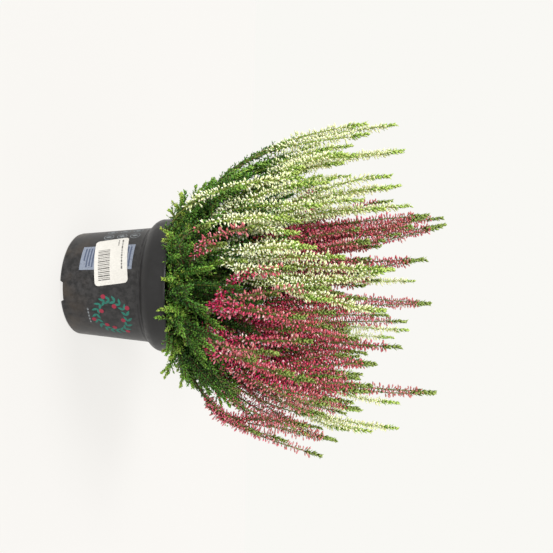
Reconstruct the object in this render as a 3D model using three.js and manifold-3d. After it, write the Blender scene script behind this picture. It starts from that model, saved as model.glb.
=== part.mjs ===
// Potted heather: white and crimson cuttings grown together in a 12 cm nursery pot.
// Millimetres, +Z up, origin on the ground under the middle of the pot. The front of the pot is at -Y.
import * as THREE from 'three';
import { mergeVertices } from 'three/addons/utils/BufferGeometryUtils.js';
import Module from 'manifold-3d';

const wasm = await Module();
wasm.setup();

// ---- Driving dimensions, in millimetres and degrees ----

const clearance = 0.3; // between pieces that rest on or in each other

const pot = {
  height: 87,
  rimRadius: 60,
  wall: 1.1,
  footRadius: 44.7, // of the wall where it meets the rounded heel
  heelHeight: 2.2,
  footRingInner: 40.5,
  footRingOuter: 43.4,
  heelInset: 0.4, // of the rounded heel halfway down
  floorUnderside: 3,
  floorInset: 0.5, // the slope of the foot ring's inner side
  shoulderHeight: 63, // where the plain cone ends
  shoulderRadius: 51,
  shoulderBend: [[0, 0], [0.9, 2], [3.85, 4], [6.4, 7], [7.7, 10]], // out and up from there to the collar
  lip: 0.5, // how far the rim stands out from the collar, and its rounding
  lipHeight: 2.4,
  facets: 48,
};

const notch = { count: 4, heading: -83, width: 17, height: 2.8, depth: 12 }; // heading of the first one
const drainHole = { count: 4, radius: 3.5, ringRadius: 29, facets: 12 };

const soil = { top: 80, edge: 78, levelRadius: 35 };

const label = {
  width: 42,
  height: 26.5,
  thickness: 0.3,
  cornerRadius: 3,
  cornerColumns: [0, 0.3, 1], // shares of the corner radius
  middleColumns: 9,
  heading: -115.5, // of its middle
  middleHeight: 40,
  tilt: 8, // stuck on with its right side higher
};

const trunk = { bottom: 55, bottomRadius: 2.4, fork: 84, forkRadius: 3.2, facets: 10 };
const branch = { rootRadius: 2.1, endRadius: 1.5, facets: 6, firstFork: 14 };
const shoot = {
  baseRadius: 1.1,
  spikeRadius: 2.1,
  tipRadius: 0.7,
  spikeStart: 0.3, // fractions of the length
  spikeEnd: 0.85,
  forkAngle: 45,
  lean: 3, // from upright at the tip, where a shoot gives no lean of its own
  leavingReach: 0.34, // the two handles of a shoot's curve, as shares of the distance it spans
  tipReach: 0.5,
  facets: 6,
  steps: 9,
};
const sprig = {
  stub: 12, // length of the stub it grows from, which is part of the rootstock
  baseRadius: 0.8,
  tipRadius: 0.5,
  droop: 46, // below level at the tip
  leavingReach: 0.45,
  tipReach: 0.4,
  facets: 6,
  steps: 6,
};

// Headings are degrees from +X towards +Y, rises are degrees above level. Each branch lists the tips
// of its shoots from its fork outwards, as x, y, z and the lean where it differs from the usual one. The
// last shoot carries the branch on from its end.
const cuttings = [
  {
    name: 'white_left',
    flower: '#e8ebc8',
    foot: [-24, -10],
    branches: [
      { heading: 184, rise: 25, length: 42, tips: [[-124, -20, 234, 6], [-147, -10, 275, 10]] },
      { heading: 202, rise: 28, length: 40, tips: [[-105, -60, 223, 6], [-138, -35, 243, 10]] },
      { heading: 228, rise: 36, length: 36, tips: [[-70, -60, 236], [-60, -90, 200]] },
      { heading: 268, rise: 42, length: 36, tips: [[-17, -60, 261], [-25, -80, 219], [-30, -100, 195]] },
      { heading: 153, rise: 34, length: 38, tips: [[-76, -6, 291, 6], [-94, -5, 282, 10], [-139, 40, 299, 7]] },
      { heading: 128, rise: 34, length: 38, tips: [[-118, 66, 250], [-88, 92, 235]] },
    ],
    sprigs: [
      { heading: 255, rise: 24, tip: [-36, -58, 85] },
      { heading: 218, rise: 10, tip: [-62, -36, 84] },
    ],
  },
  {
    name: 'pink_right',
    flower: '#c8305f',
    foot: [24, -12],
    branches: [
      { heading: 357, rise: 18, length: 46, tips: [[138, 0, 229, 16], [148, -10, 215, 16]] },
      { heading: 16, rise: 30, length: 38, tips: [[78, 0, 252], [134, 20, 218, 11]] },
      { heading: 338, rise: 54, length: 28, tips: [[88, -20, 311]] },
      { heading: 314, rise: 40, length: 34, tips: [[46, -40, 274], [73, -60, 246]] },
      { heading: 290, rise: 34, length: 34, tips: [[58, -90, 184, 8], [42, -100, 172, 10]] },
      { heading: 262, rise: 40, length: 34, tips: [[17, -60, 216], [-3, -110, 204, 6]] },
      { heading: 232, rise: 24, length: 32, tips: [[-41, -110, 153, 12]] },
      { heading: 250, rise: 80, length: 12, tips: [[22, -20, 269]] },
      { heading: 40, rise: 72, length: 14, tips: [[30, 10, 295]] },
    ],
    sprigs: [
      { heading: 268, rise: 24, tip: [16, -62, 90] },
      { heading: 326, rise: 22, tip: [72, -28, 79] },
    ],
  },
  {
    name: 'pink_rear',
    flower: '#c8305f',
    foot: [-14, 20],
    branches: [
      { heading: 226, rise: 60, length: 26, tips: [[-65, -24, 301, 7]] },
      { heading: 198, rise: 52, length: 32, tips: [[-82, 6, 278, 8], [-61, 6, 328, 13]] },
      { heading: 166, rise: 58, length: 28, tips: [[-70, 24, 333, 9]] },
      { heading: 262, rise: 74, length: 22, tips: [[-25, 2, 258], [-27, -20, 301, 9]] },
      { heading: 112, rise: 34, length: 38, tips: [[-60, 90, 250], [-30, 111, 215]] },
      { heading: 60, rise: 72, length: 20, tips: [[14, 40, 329]] },
      { heading: 330, rise: 78, length: 12, tips: [[-8, 20, 273]] },
    ],
    sprigs: [],
  },
  {
    name: 'white_rear',
    flower: '#e8ebc8',
    foot: [16, 22],
    branches: [
      { heading: 0, rise: 36, length: 40, tips: [[117, 20, 256, 5], [130, 10, 289, 5]] },
      { heading: 24, rise: 30, length: 38, tips: [[115, 40, 299], [112, 72, 225]] },
      { heading: 54, rise: 40, length: 40, tips: [[44, 60, 313], [56, 90, 307], [92, 95, 235]] },
      { heading: 88, rise: 44, length: 34, tips: [[-8, 70, 322], [20, 111, 240]] },
    ],
    sprigs: [
      { heading: 80, rise: 24, tip: [4, 68, 88] },
    ],
  },
];

// ---- Materials ----

const finishes = {
  potPlastic: { color: '#3f3e40', roughness: 0.5 },
  compost: { color: '#2e2118', roughness: 0.95 },
  paper: { color: '#eeeeec', roughness: 0.6 },
  bark: { color: '#5a4630', roughness: 0.9 },
  leaf: { color: '#5f8f2c', roughness: 0.7 },
};

const material = ({ color, roughness }) => new THREE.MeshStandardMaterial({ color, roughness, metalness: 0 });

// ---- Small helpers ----

const radians = THREE.MathUtils.degToRad;
const ringAt = (radius, z) => new THREE.Vector2(radius, z); // one point of a turned outline

// The unit vector of a heading and a rise.
function direction(heading, rise) {
  const level = Math.cos(radians(rise));
  return new THREE.Vector3(
    level * Math.cos(radians(heading)),
    level * Math.sin(radians(heading)),
    Math.sin(radians(rise)),
  );
}

// A profile of (radius, height) points, from axis to axis, turned about Z.
function turned(profile, facets) {
  return new THREE.LatheGeometry(profile, facets).rotateX(Math.PI / 2);
}

// A closed tube along a curve, with its radius given along the curve from 0 to 1.
function tubeAlong(curve, radiusAt, steps, facets) {
  const geometry = new THREE.CylinderGeometry(1, 1, 1, facets, steps);
  const frames = curve.computeFrenetFrames(steps);
  const position = geometry.attributes.position;
  const point = new THREE.Vector3();
  for (let i = 0; i < position.count; i += 1) {
    point.fromBufferAttribute(position, i);
    const step = Math.round((point.y + 0.5) * steps);
    const radius = radiusAt(step / steps);
    const centre = curve.getPointAt(step / steps);
    centre.addScaledVector(frames.normals[step], point.x * radius);
    centre.addScaledVector(frames.binormals[step], -point.z * radius);
    position.setXYZ(i, centre.x, centre.y, centre.z);
  }
  return geometry;
}

function toSolid(geometry) {
  const bare = geometry.clone();
  bare.deleteAttribute('normal');
  bare.deleteAttribute('uv');
  const merged = mergeVertices(bare);
  return new wasm.Manifold(new wasm.Mesh({
    numProp: 3,
    vertProperties: merged.attributes.position.array,
    triVerts: new Uint32Array(merged.index.array),
  }));
}

function toGeometry(solid) {
  const { vertProperties, triVerts } = solid.getMesh();
  const geometry = new THREE.BufferGeometry();
  geometry.setAttribute('position', new THREE.BufferAttribute(vertProperties, 3));
  geometry.setIndex(new THREE.BufferAttribute(triVerts, 1));
  return geometry;
}

function piece(name, geometry, finish) {
  const mesh = new THREE.Mesh(geometry, material(finish));
  mesh.name = name;
  return mesh;
}

// ---- The pot ----

// The S-shaped shoulder between the cone and the collar, moved inwards by a margin.
function shoulderOutline(margin) {
  const { shoulderRadius, shoulderHeight, shoulderBend } = pot;
  return shoulderBend.map(([out, up]) => ringAt(shoulderRadius + out - margin, shoulderHeight + up));
}

function wallRadiusAt(z) {
  const along = (z - pot.heelHeight) / (pot.shoulderHeight - pot.heelHeight);
  return pot.footRadius + along * (pot.shoulderRadius - pot.footRadius);
}

function potShell() {
  const { height, rimRadius, wall, footRadius, heelHeight, footRingInner, footRingOuter, lip, lipHeight } = pot;
  const floorTop = pot.floorUnderside + wall;
  const inside = rimRadius - lip - wall;
  const profile = [
    ringAt(0, pot.floorUnderside),
    ringAt(footRingInner - pot.floorInset, pot.floorUnderside),
    ringAt(footRingInner, 0),
    ringAt(footRingOuter, 0),
    ringAt(footRadius - pot.heelInset, heelHeight / 3),
    ringAt(footRadius, heelHeight),
    ...shoulderOutline(0),
    ringAt(rimRadius - lip, height - lipHeight),
    ringAt(rimRadius, height - lipHeight + lip),
    ringAt(rimRadius, height - lip),
    ringAt(rimRadius - lip, height),
    ringAt(inside + lip / 2, height),
    ringAt(inside, height - lip),
    ...shoulderOutline(wall).reverse(),
    ringAt(wallRadiusAt(floorTop) - wall, floorTop),
    ringAt(0, floorTop),
  ];
  let shell = toSolid(turned(profile, pot.facets));
  for (let i = 0; i < notch.count; i += 1) {
    const cutter = new THREE.BoxGeometry(notch.depth, notch.width, 2 * notch.height);
    cutter.translate((footRingInner + footRingOuter) / 2, 0, 0);
    cutter.rotateZ(radians(notch.heading + (360 / notch.count) * i));
    shell = shell.subtract(toSolid(cutter));
  }
  for (let i = 0; i < drainHole.count; i += 1) {
    const depth = 4 * wall;
    const drill = new THREE.CylinderGeometry(drainHole.radius, drainHole.radius, depth, drainHole.facets);
    drill.rotateX(Math.PI / 2);
    drill.translate(drainHole.ringRadius, 0, pot.floorUnderside + wall / 2);
    drill.rotateZ(radians(notch.heading + (360 / drainHole.count) * i));
    shell = shell.subtract(toSolid(drill));
  }
  return piece('pot', toGeometry(shell), finishes.potPlastic);
}

// ---- The label ----

// A sheet bent round the wall, with round corners made by shortening its end columns.
function labelSheet() {
  const { width, height, thickness, cornerRadius, cornerColumns, middleColumns, tilt } = label;
  const half = width / 2;
  const leftCorner = cornerColumns.map((share) => share * cornerRadius - half);
  const middle = [];
  for (let i = 1; i < middleColumns; i += 1) {
    middle.push(cornerRadius - half + ((width - 2 * cornerRadius) * i) / middleColumns);
  }
  const rightCorner = leftCorner.map((across) => -across).reverse();
  const columns = [...leftCorner, ...middle, ...rightCorner];
  const geometry = new THREE.BoxGeometry(1, 1, 1, columns.length - 1, 1, 1);
  const position = geometry.attributes.position;
  for (let i = 0; i < position.count; i += 1) {
    const column = Math.round((position.getX(i) + 0.5) * (columns.length - 1));
    const across = columns[column];
    const intoCorner = Math.max(0, Math.abs(across) - (half - cornerRadius));
    const cut = cornerRadius - Math.sqrt(cornerRadius ** 2 - intoCorner ** 2);
    const up = Math.sign(position.getY(i)) * (height / 2 - cut);
    const round = across * Math.cos(radians(tilt)) - up * Math.sin(radians(tilt));
    const z = label.middleHeight + across * Math.sin(radians(tilt)) + up * Math.cos(radians(tilt));
    const radius = wallRadiusAt(z) + clearance + (position.getZ(i) + 0.5) * thickness;
    const angle = radians(label.heading) + round / wallRadiusAt(label.middleHeight);
    position.setXYZ(i, radius * Math.cos(angle), radius * Math.sin(angle), z);
  }
  return piece('label', geometry, finishes.paper);
}

// ---- The compost, with a socket for each trunk ----

function trunkCone(margin, bottom, top) {
  const widening = (trunk.forkRadius - trunk.bottomRadius) / (trunk.fork - trunk.bottom);
  const radiusAt = (z) => trunk.bottomRadius + widening * (z - trunk.bottom);
  const cone = new THREE.CylinderGeometry(
    radiusAt(top) + margin,
    radiusAt(bottom) + margin,
    top - bottom,
    trunk.facets,
  );
  return cone.rotateX(Math.PI / 2).translate(0, 0, (top + bottom) / 2);
}

function compost() {
  const margin = pot.wall + clearance;
  const bottom = pot.floorUnderside + pot.wall + clearance;
  const collar = shoulderOutline(0).at(-1);
  const flare = (pot.rimRadius - pot.lip - collar.x) / (pot.height - pot.lipHeight - collar.y);
  const profile = [
    ringAt(0, bottom),
    ringAt(wallRadiusAt(bottom) - margin, bottom),
    ...shoulderOutline(margin),
    ringAt(collar.x + flare * (soil.edge - collar.y) - margin, soil.edge),
    ringAt(soil.levelRadius, soil.top),
    ringAt(0, soil.top),
  ];
  let body = toSolid(turned(profile, pot.facets));
  for (const { foot } of cuttings) {
    const socket = trunkCone(clearance, trunk.bottom - clearance, trunk.fork);
    body = body.subtract(toSolid(socket.translate(foot[0], foot[1], 0)));
  }
  return piece('soil', toGeometry(body), finishes.compost);
}

// ---- The cuttings ----

// The woody foot of one cutting with all its branches.
function rootstock(cutting) {
  const [x, y] = cutting.foot;
  let wood = toSolid(trunkCone(0, trunk.bottom, trunk.fork + 1).translate(x, y, 0));
  const fork = new THREE.Vector3(x, y, trunk.fork);
  for (const { heading, rise, length } of branchesAndStubs(cutting)) {
    const end = fork.clone().addScaledVector(direction(heading, rise), length);
    wood = wood.add(toSolid(tubeAlong(new THREE.LineCurve3(fork, end), branchRadius, 1, branch.facets)));
  }
  return piece(`${cutting.name}_rootstock`, toGeometry(wood), finishes.bark);
}

function branchRadius(share) {
  return branch.rootRadius + (branch.endRadius - branch.rootRadius) * share;
}

// Sprigs grow from short stubs that are part of the rootstock.
function branchesAndStubs(cutting) {
  return [...cutting.branches, ...cutting.sprigs.map((one) => ({ ...one, length: sprig.stub }))];
}

// Where a side shoot leaves its branch, turned towards its tip and clear of the bark.
function sideStart(onBranch, barkRadius, along, tip) {
  const towardsTip = tip.clone().sub(onBranch);
  towardsTip.addScaledVector(along, -towardsTip.dot(along)).normalize();
  const turn = radians(shoot.forkAngle);
  const leaving = along.clone().multiplyScalar(Math.cos(turn)).addScaledVector(towardsTip, Math.sin(turn));
  const offset = (barkRadius + clearance + shoot.baseRadius * Math.cos(turn)) / Math.sin(turn);
  return { start: onBranch.clone().addScaledVector(leaving, offset), leaving };
}

// A shoot leaves its branch, then bends up and ends leaning a little outwards.
function shootCurve(start, leaving, tip, lean, foot) {
  const outwards = THREE.MathUtils.radToDeg(Math.atan2(tip.y - foot.y, tip.x - foot.x));
  const distance = start.distanceTo(tip);
  const near = start.clone().addScaledVector(leaving, distance * shoot.leavingReach);
  const far = tip.clone().addScaledVector(direction(outwards, 90 - lean), -distance * shoot.tipReach);
  return new THREE.CubicBezierCurve3(start, near, far, tip);
}

function shootRadius(share) {
  const { baseRadius, spikeRadius, tipRadius, spikeStart, spikeEnd } = shoot;
  if (share < spikeStart) {
    return baseRadius + ((spikeRadius - baseRadius) * share) / spikeStart;
  }
  if (share < spikeEnd) {
    return spikeRadius;
  }
  return spikeRadius + ((tipRadius - spikeRadius) * (share - spikeEnd)) / (1 - spikeEnd);
}

function floweringShoots(cutting) {
  const fork = new THREE.Vector3(...cutting.foot, trunk.fork);
  const meshes = [];
  for (const { heading, rise, length, tips } of cutting.branches) {
    const along = direction(heading, rise);
    const spacing = (length - branch.firstFork) / tips.length;
    tips.forEach((place, index) => {
      const [tipX, tipY, tipZ, lean = shoot.lean] = place;
      const tip = new THREE.Vector3(tipX, tipY, tipZ);
      const last = index === tips.length - 1;
      const onBranch = fork.clone().addScaledVector(along, branch.firstFork + spacing * index);
      const beyondEnd = fork.clone().addScaledVector(along, length + clearance);
      const barkRadius = branchRadius(onBranch.distanceTo(fork) / length);
      const side = sideStart(onBranch, barkRadius, along, tip);
      const { start, leaving } = last ? { start: beyondEnd, leaving: along } : side;
      const curve = shootCurve(start, leaving, tip, lean, fork);
      const name = `${cutting.name}_shoot_${meshes.length + 1}`;
      const finish = { color: cutting.flower, roughness: 0.7 };
      meshes.push(piece(name, tubeAlong(curve, shootRadius, shoot.steps, shoot.facets), finish));
    });
  }
  return meshes;
}

// A sprig rises from its stub, passes over the rim and droops.
function leafySprigs(cutting) {
  const fork = new THREE.Vector3(...cutting.foot, trunk.fork);
  const taper = (share) => sprig.baseRadius + (sprig.tipRadius - sprig.baseRadius) * share;
  return cutting.sprigs.map(({ heading, rise, tip }, index) => {
    const along = direction(heading, rise);
    const start = fork.clone().addScaledVector(along, sprig.stub + clearance);
    const end = new THREE.Vector3(...tip);
    const reach = start.distanceTo(end);
    const near = start.clone().addScaledVector(along, reach * sprig.leavingReach);
    const far = end.clone().addScaledVector(direction(heading, -sprig.droop), -reach * sprig.tipReach);
    const curve = new THREE.CubicBezierCurve3(start, near, far, end);
    const name = `${cutting.name}_sprig_${index + 1}`;
    return piece(name, tubeAlong(curve, taper, sprig.steps, sprig.facets), finishes.leaf);
  });
}

// ---- The whole plant ----

const heather = new THREE.Group();
heather.add(potShell(), compost(), labelSheet());
for (const cutting of cuttings) {
  const plant = new THREE.Group();
  plant.add(rootstock(cutting), ...floweringShoots(cutting), ...leafySprigs(cutting));
  heather.add(plant);
}

export default heather;
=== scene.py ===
# %% [markdown]
# # A potted heather, built to be looked at
#
# Two forms of heather, one white and one crimson, grow together in a black nursery pot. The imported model
# already says where the pot, the soil, the label and the middle line of every shoot are. This script
# dresses that frame: it keeps each piece where it is and gives it its real surface. Every length is in
# metres, and a value named in millimetres is multiplied by `MM` where it is used.

# %% Load the frame
import math
import bmesh
import bpy
import numpy as np
from mathutils import Matrix, Vector


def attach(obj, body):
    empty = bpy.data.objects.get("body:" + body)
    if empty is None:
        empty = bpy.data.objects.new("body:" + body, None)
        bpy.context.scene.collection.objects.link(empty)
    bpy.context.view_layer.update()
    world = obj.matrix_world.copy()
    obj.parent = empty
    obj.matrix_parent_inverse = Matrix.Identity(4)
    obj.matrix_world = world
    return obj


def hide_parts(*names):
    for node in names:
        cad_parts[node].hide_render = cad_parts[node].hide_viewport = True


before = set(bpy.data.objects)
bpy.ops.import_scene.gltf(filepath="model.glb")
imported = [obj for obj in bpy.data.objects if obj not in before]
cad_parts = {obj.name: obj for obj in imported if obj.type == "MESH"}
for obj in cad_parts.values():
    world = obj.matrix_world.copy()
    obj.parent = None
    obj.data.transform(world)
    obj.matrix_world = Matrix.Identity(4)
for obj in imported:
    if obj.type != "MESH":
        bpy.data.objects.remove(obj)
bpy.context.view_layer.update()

MM = 0.001

# %% [markdown]
# ## Colours and nodes
#
# Colours are easiest to choose as sRGB hex values, but a shader adds up light, so it needs linear
# numbers. One function does that change for the whole script. A second one adds a node with its settings
# and links, because a node tree in code is mostly that one step many times over. Sockets that share a
# name are given by number: a Mix node takes two numbers at 2 and 3 or two colours at 6 and 7, and gives the
# colour at 2. A Random Value node takes its limits at 2 and 3 and gives the number at 1, or takes them at 4
# and 5 and gives a whole number at 2.

# %% Helpers for every material and every tree
def linear(hex_colour, alpha=1.0):
    """An sRGB hex colour as linear red, green, blue and alpha."""
    channels = [int(hex_colour[i:i + 2], 16) / 255 for i in (1, 3, 5)]
    return [c / 12.92 if c <= 0.04045 else ((c + 0.055) / 1.055) ** 2.4 for c in channels] + [alpha]


def add(tree, kind, sockets=None, **settings):
    """Adds a node: its settings first, then a value or a link for each named or numbered input."""
    node = tree.nodes.new(kind)
    for name, value in settings.items():
        setattr(node, name, value)
    for key, value in (sockets or {}).items():
        if isinstance(value, bpy.types.NodeSocket):
            tree.links.new(value, node.inputs[key])
        else:
            node.inputs[key].default_value = value
    return node


def fill_ramp(node, stops):
    """Sets the stops of a colour ramp from (place, hex colour) pairs."""
    stops_now = node.color_ramp.elements
    while len(stops_now) > 1:
        stops_now.remove(stops_now[-1])
    stops_now[0].position = stops[0][0]
    stops_now[0].color = linear(stops[0][1])
    for place, colour in stops[1:]:
        stops_now.new(place).color = linear(colour)
    return node.outputs["Color"]


def new_material(name, **constants):
    """A material with a Principled shader, whose constant values sit on the shader's own sockets."""
    material = bpy.data.materials.new(name)
    material.use_nodes = True
    shader = material.node_tree.nodes["Principled BSDF"]
    for socket, value in constants.items():
        shader.inputs[socket.replace("_", " ").title().replace("Ior", "IOR")].default_value = value
    return material, material.node_tree, shader


print("a mid grey in linear light:", [round(c, 3) for c in linear("#808080")])

# %% [markdown]
# ## The pot's plastic
#
# Nursery pots are injection moulded from recycled polypropylene, coloured with carbon black. The mould is
# finely blasted, so the surface is satin: it takes a broad, soft highlight and no sharp reflection. The
# regrind gives it faint clouds of warmer and cooler grey. Soil dust dries on it in thin films, most of it
# near the foot, and the film thins out above the shoulder, so the collar is darker than the body. The grain
# of the blasting, a tenth of a millimetre on a real pot, is drawn at 0.8 mm, since it wouldn't show
# otherwise.

# %% Moulded polypropylene
polypropylene, tree, shader = new_material("moulded_polypropylene_black", ior=1.49, roughness=0.42)
place = add(tree, "ShaderNodeTexCoord").outputs["Object"]
height = add(tree, "ShaderNodeSeparateXYZ", {0: place}).outputs["Z"]

clouds = add(tree, "ShaderNodeTexNoise", {
    "Vector": place, "Scale": 1 / (22 * MM), "Detail": 5.0, "Roughness": 0.6})
body_colour = fill_ramp(add(tree, "ShaderNodeValToRGB", {0: clouds.outputs[0]}),
                        [(0.3, "#060506"), (0.7, "#100f11")])
film = add(tree, "ShaderNodeTexNoise", {
    "Vector": place, "Scale": 1 / (5 * MM), "Detail": 8.0, "Roughness": 0.7})
# the film is thinned above the shoulder, so the collar is darker than the body
film_by_height = add(tree, "ShaderNodeMapRange", {
    "Value": height, "From Min": 60 * MM, "From Max": 68 * MM, "To Min": 0.55, "To Max": 0.06})
film_share = add(tree, "ShaderNodeMapRange", {
    "Value": film.outputs[0], "From Min": 0.42, "From Max": 0.72, "To Max": film_by_height.outputs[0]})
dusted = add(tree, "ShaderNodeMix", {
    0: film_share.outputs[0], 6: body_colour, 7: linear("#4c4a4a")}, data_type="RGBA")
low_share = add(tree, "ShaderNodeMapRange", {"Value": height, "From Min": 26 * MM, "From Max": 2 * MM})
splashes = add(tree, "ShaderNodeMapRange", {
    "Value": clouds.outputs[0], "From Min": 0.45, "From Max": 0.7, "To Max": 0.7})
low_film = add(tree, "ShaderNodeMath", {
    0: low_share.outputs[0], 1: splashes.outputs[0]}, operation="MULTIPLY")
soiled = add(tree, "ShaderNodeMix", {
    0: low_film.outputs[0], 6: dusted.outputs[2], 7: linear("#4a3e30")}, data_type="RGBA")
tree.links.new(soiled.outputs[2], shader.inputs["Base Color"])

rough = add(tree, "ShaderNodeMapRange", {
    "Value": film.outputs[0], "From Min": 0.3, "From Max": 0.75, "To Min": 0.3, "To Max": 0.56})
tree.links.new(rough.outputs[0], shader.inputs["Roughness"])
grain = add(tree, "ShaderNodeTexNoise", {"Vector": place, "Scale": 1 / (0.8 * MM), "Detail": 2.0})
grain_bump = add(tree, "ShaderNodeBump", {
    "Strength": 0.12, "Distance": 0.1 * MM, "Height": grain.outputs[0]})
sink = add(tree, "ShaderNodeBump", {
    "Strength": 0.35, "Distance": 0.4 * MM, "Height": clouds.outputs[0], "Normal": grain_bump.outputs[0]})
tree.links.new(sink.outputs[0], shader.inputs["Normal"])
print("made", polypropylene.name)

# %% [markdown]
# ## The pot's shape
#
# A nursery pot is a thin cone with a wide stepped collar, so that pots stack without jamming. The shape
# is round, so an outline turned about the axis makes it exactly. The CAD pot has 48 flats: this one
# repeats its outline with 144 and adds the small things a mould leaves, such as the bead where the cone
# meets the shoulder and the rounded rim. The notches and drain holes are cut with a boolean, as they are
# flat cuts through a round wall.

# %% The pot's sizes, in millimetres
pot_turns = 144
wall = 1.1
foot_radius, heel_height = 44.7, 2.2
shoulder_radius, shoulder_height = 51.0, 63.0
rim_radius, rim_height = 60.0, 87.0
floor_underside = 3.0
notch_heading, notch_width, notch_height = -83, 17.0, 2.8
notch_reach = (36, 48)
drain_ring, drain_radius, drain_sides = 29.0, 3.5, 20
drain_reach = (2.0, 5.2)


def wall_radius(z):
    """The outside radius of the plain cone at a height, all in millimetres."""
    share = (z - heel_height) / (shoulder_height - heel_height)
    return foot_radius + share * (shoulder_radius - foot_radius)


outline = [
    # the underside and the foot ring
    (0, floor_underside), (39.6, floor_underside), (40.2, 2.4), (40.5, 0.3), (40.8, 0),
    (43.0, 0), (43.5, 0.2), (44.2, 0.9), (44.6, 1.7), (foot_radius, heel_height),
    # the cone, and the bead where it meets the shoulder
    *[(wall_radius(z), z) for z in (12, 24, 36, 48, 60, 62)],
    (51.25, 62.5), (51.35, 63.0), (51.2, 63.5), (51.3, 64.2),
    # the shoulder, the collar and its lip
    (51.9, 65.0), (53.0, 66.0), (54.9, 67.0), (56.2, 68.3), (57.4, 70.0), (58.2, 71.6), (58.7, 73.0),
    (58.95, 76.5), (59.2, 80.5), (59.4, 83.6), (59.5, 84.5), (59.9, 84.75), (rim_radius, 85.1),
    (rim_radius, 86.3), (59.85, 86.75), (59.4, rim_height), (58.8, 86.9), (58.45, 86.5), (58.3, 84.0),
    # down the inside to the floor
    (58.0, 79.0), (57.6, 73.0), (57.1, 71.8), (56.3, 70.2), (55.2, 68.8), (53.8, 67.8), (51.9, 66.8),
    (50.8, 65.6), (50.2, 64.4), (49.9, 63.0),
    *[(wall_radius(z) - wall, z) for z in (40, 20, 5)],
    (43.0, 4.3), (42.0, 4.1), (0, 4.1),
]


def turned(name, points, turns):
    """A closed mesh turned about Z from (radius, height) points in millimetres, from axis to axis."""
    vertices, faces, rings = [], [], []
    for radius, z in points:
        if radius == 0:
            rings.append([len(vertices)])
            vertices.append((0, 0, z * MM))
            continue
        rings.append(list(range(len(vertices), len(vertices) + turns)))
        for i in range(turns):
            angle = 2 * math.pi * i / turns
            vertices.append((radius * MM * math.cos(angle), radius * MM * math.sin(angle), z * MM))
    for below, above in zip(rings, rings[1:]):
        for i in range(turns):
            j = (i + 1) % turns
            low, low_next = below[i % len(below)], below[j % len(below)]
            high, high_next = above[i % len(above)], above[j % len(above)]
            faces.append(list(dict.fromkeys([low, low_next, high_next, high])))
    return plain_object(name, vertices, faces)


def plain_object(name, vertices, faces, smooth=True):
    """A mesh object in the scene, at the origin, from vertices in metres and faces."""
    mesh = bpy.data.meshes.new(name)
    mesh.from_pydata([tuple(v) for v in vertices], [], faces)
    mesh.validate()
    if smooth:
        mesh.shade_smooth()
    made = bpy.data.objects.new(name, mesh)
    bpy.context.scene.collection.objects.link(made)
    return made


def plain_mesh(made):
    """Takes an object's modifiers into its mesh."""
    seen = made.evaluated_get(bpy.context.evaluated_depsgraph_get())
    mesh = bpy.data.meshes.new_from_object(seen)
    made.modifiers.clear()
    made.data = mesh
    mesh.name = made.name


print("outline points:", len(outline))

# %% Turn it, then cut the notches and the drain holes
pot = turned("nursery_pot", outline, pot_turns)


def block(reach, heights, half_widths, turn):
    """The corners of a block between two radii and two heights, half as wide as given at each height."""
    points = [(r, side * w, z) for r in reach for z, w in zip(heights, half_widths) for side in (-1, 1)]
    spin = Matrix.Rotation(math.radians(turn), 3, "Z")
    return [spin @ Vector(p) * MM for p in points]


def cutters():
    """All notches and drain holes as one mesh object."""
    vertices, faces = [], []
    block_faces = ((0, 1, 3, 2), (4, 6, 7, 5), (0, 4, 5, 1), (2, 3, 7, 6), (0, 2, 6, 4), (1, 5, 7, 3))
    notch_halves = (notch_width / 2 + 0.6, notch_width / 2 - 1.4)
    for i in range(4):
        heading = notch_heading + 90 * i
        start = len(vertices)
        vertices += block(notch_reach, (-1, notch_height), notch_halves, heading)
        faces += [[start + k for k in face] for face in block_faces]
        start = len(vertices)
        spin = Matrix.Rotation(math.radians(heading), 3, "Z")
        for z in drain_reach:
            for k in range(drain_sides):
                turn = 2 * math.pi * k / drain_sides
                corner = (drain_ring + drain_radius * math.cos(turn), drain_radius * math.sin(turn), z)
                vertices.append(spin @ Vector(corner) * MM)
        over = start + drain_sides
        faces.append([start + k for k in reversed(range(drain_sides))])
        faces.append([over + k for k in range(drain_sides)])
        for k in range(drain_sides):
            after = (k + 1) % drain_sides
            faces.append([start + k, start + after, over + after, over + k])
    return plain_object("pot_cutters", vertices, faces, smooth=False)


def outward(made):
    """Makes every face point out."""
    work = bmesh.new()
    work.from_mesh(made.data)
    bmesh.ops.recalc_face_normals(work, faces=work.faces)
    work.to_mesh(made.data)
    work.free()
    return made


outward(pot)
cutter = outward(cutters())
cut = pot.modifiers.new("notches_and_holes", "BOOLEAN")
cut.object, cut.operation, cut.solver = cutter, "DIFFERENCE", "EXACT"
plain_mesh(pot)
bpy.data.objects.remove(cutter)
pot.data.materials.clear()
pot.data.materials.append(polypropylene)
for face in pot.data.polygons:
    face.use_smooth = True
pot.data.set_sharp_from_angle(angle=math.radians(38))
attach(pot, "root")
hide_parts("pot")
print("pot faces:", len(pot.data.polygons))

# %% [markdown]
# ## Print on the pot
#
# Pots of this kind are printed by offset rollers before they are stacked: a pale grey-blue text panel,
# small care marks beside it and a coloured ornament. This pot carries no words. The panel holds plain
# bars, the marks are rings with a leaf or a small flower in each, and the ornament is a wreath of leaves
# and berries over a row of five bars. Each colour of ink is a thin closed skin, a twentieth of a
# millimetre thick and just clear of the wall, so it stays a real surface.

# %% Shapes laid on the pot's wall
ink_gap, ink_thickness = 0.03, 0.05
ink_top, second_ink_top = ink_gap + ink_thickness, ink_gap + 2 * ink_thickness


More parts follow.
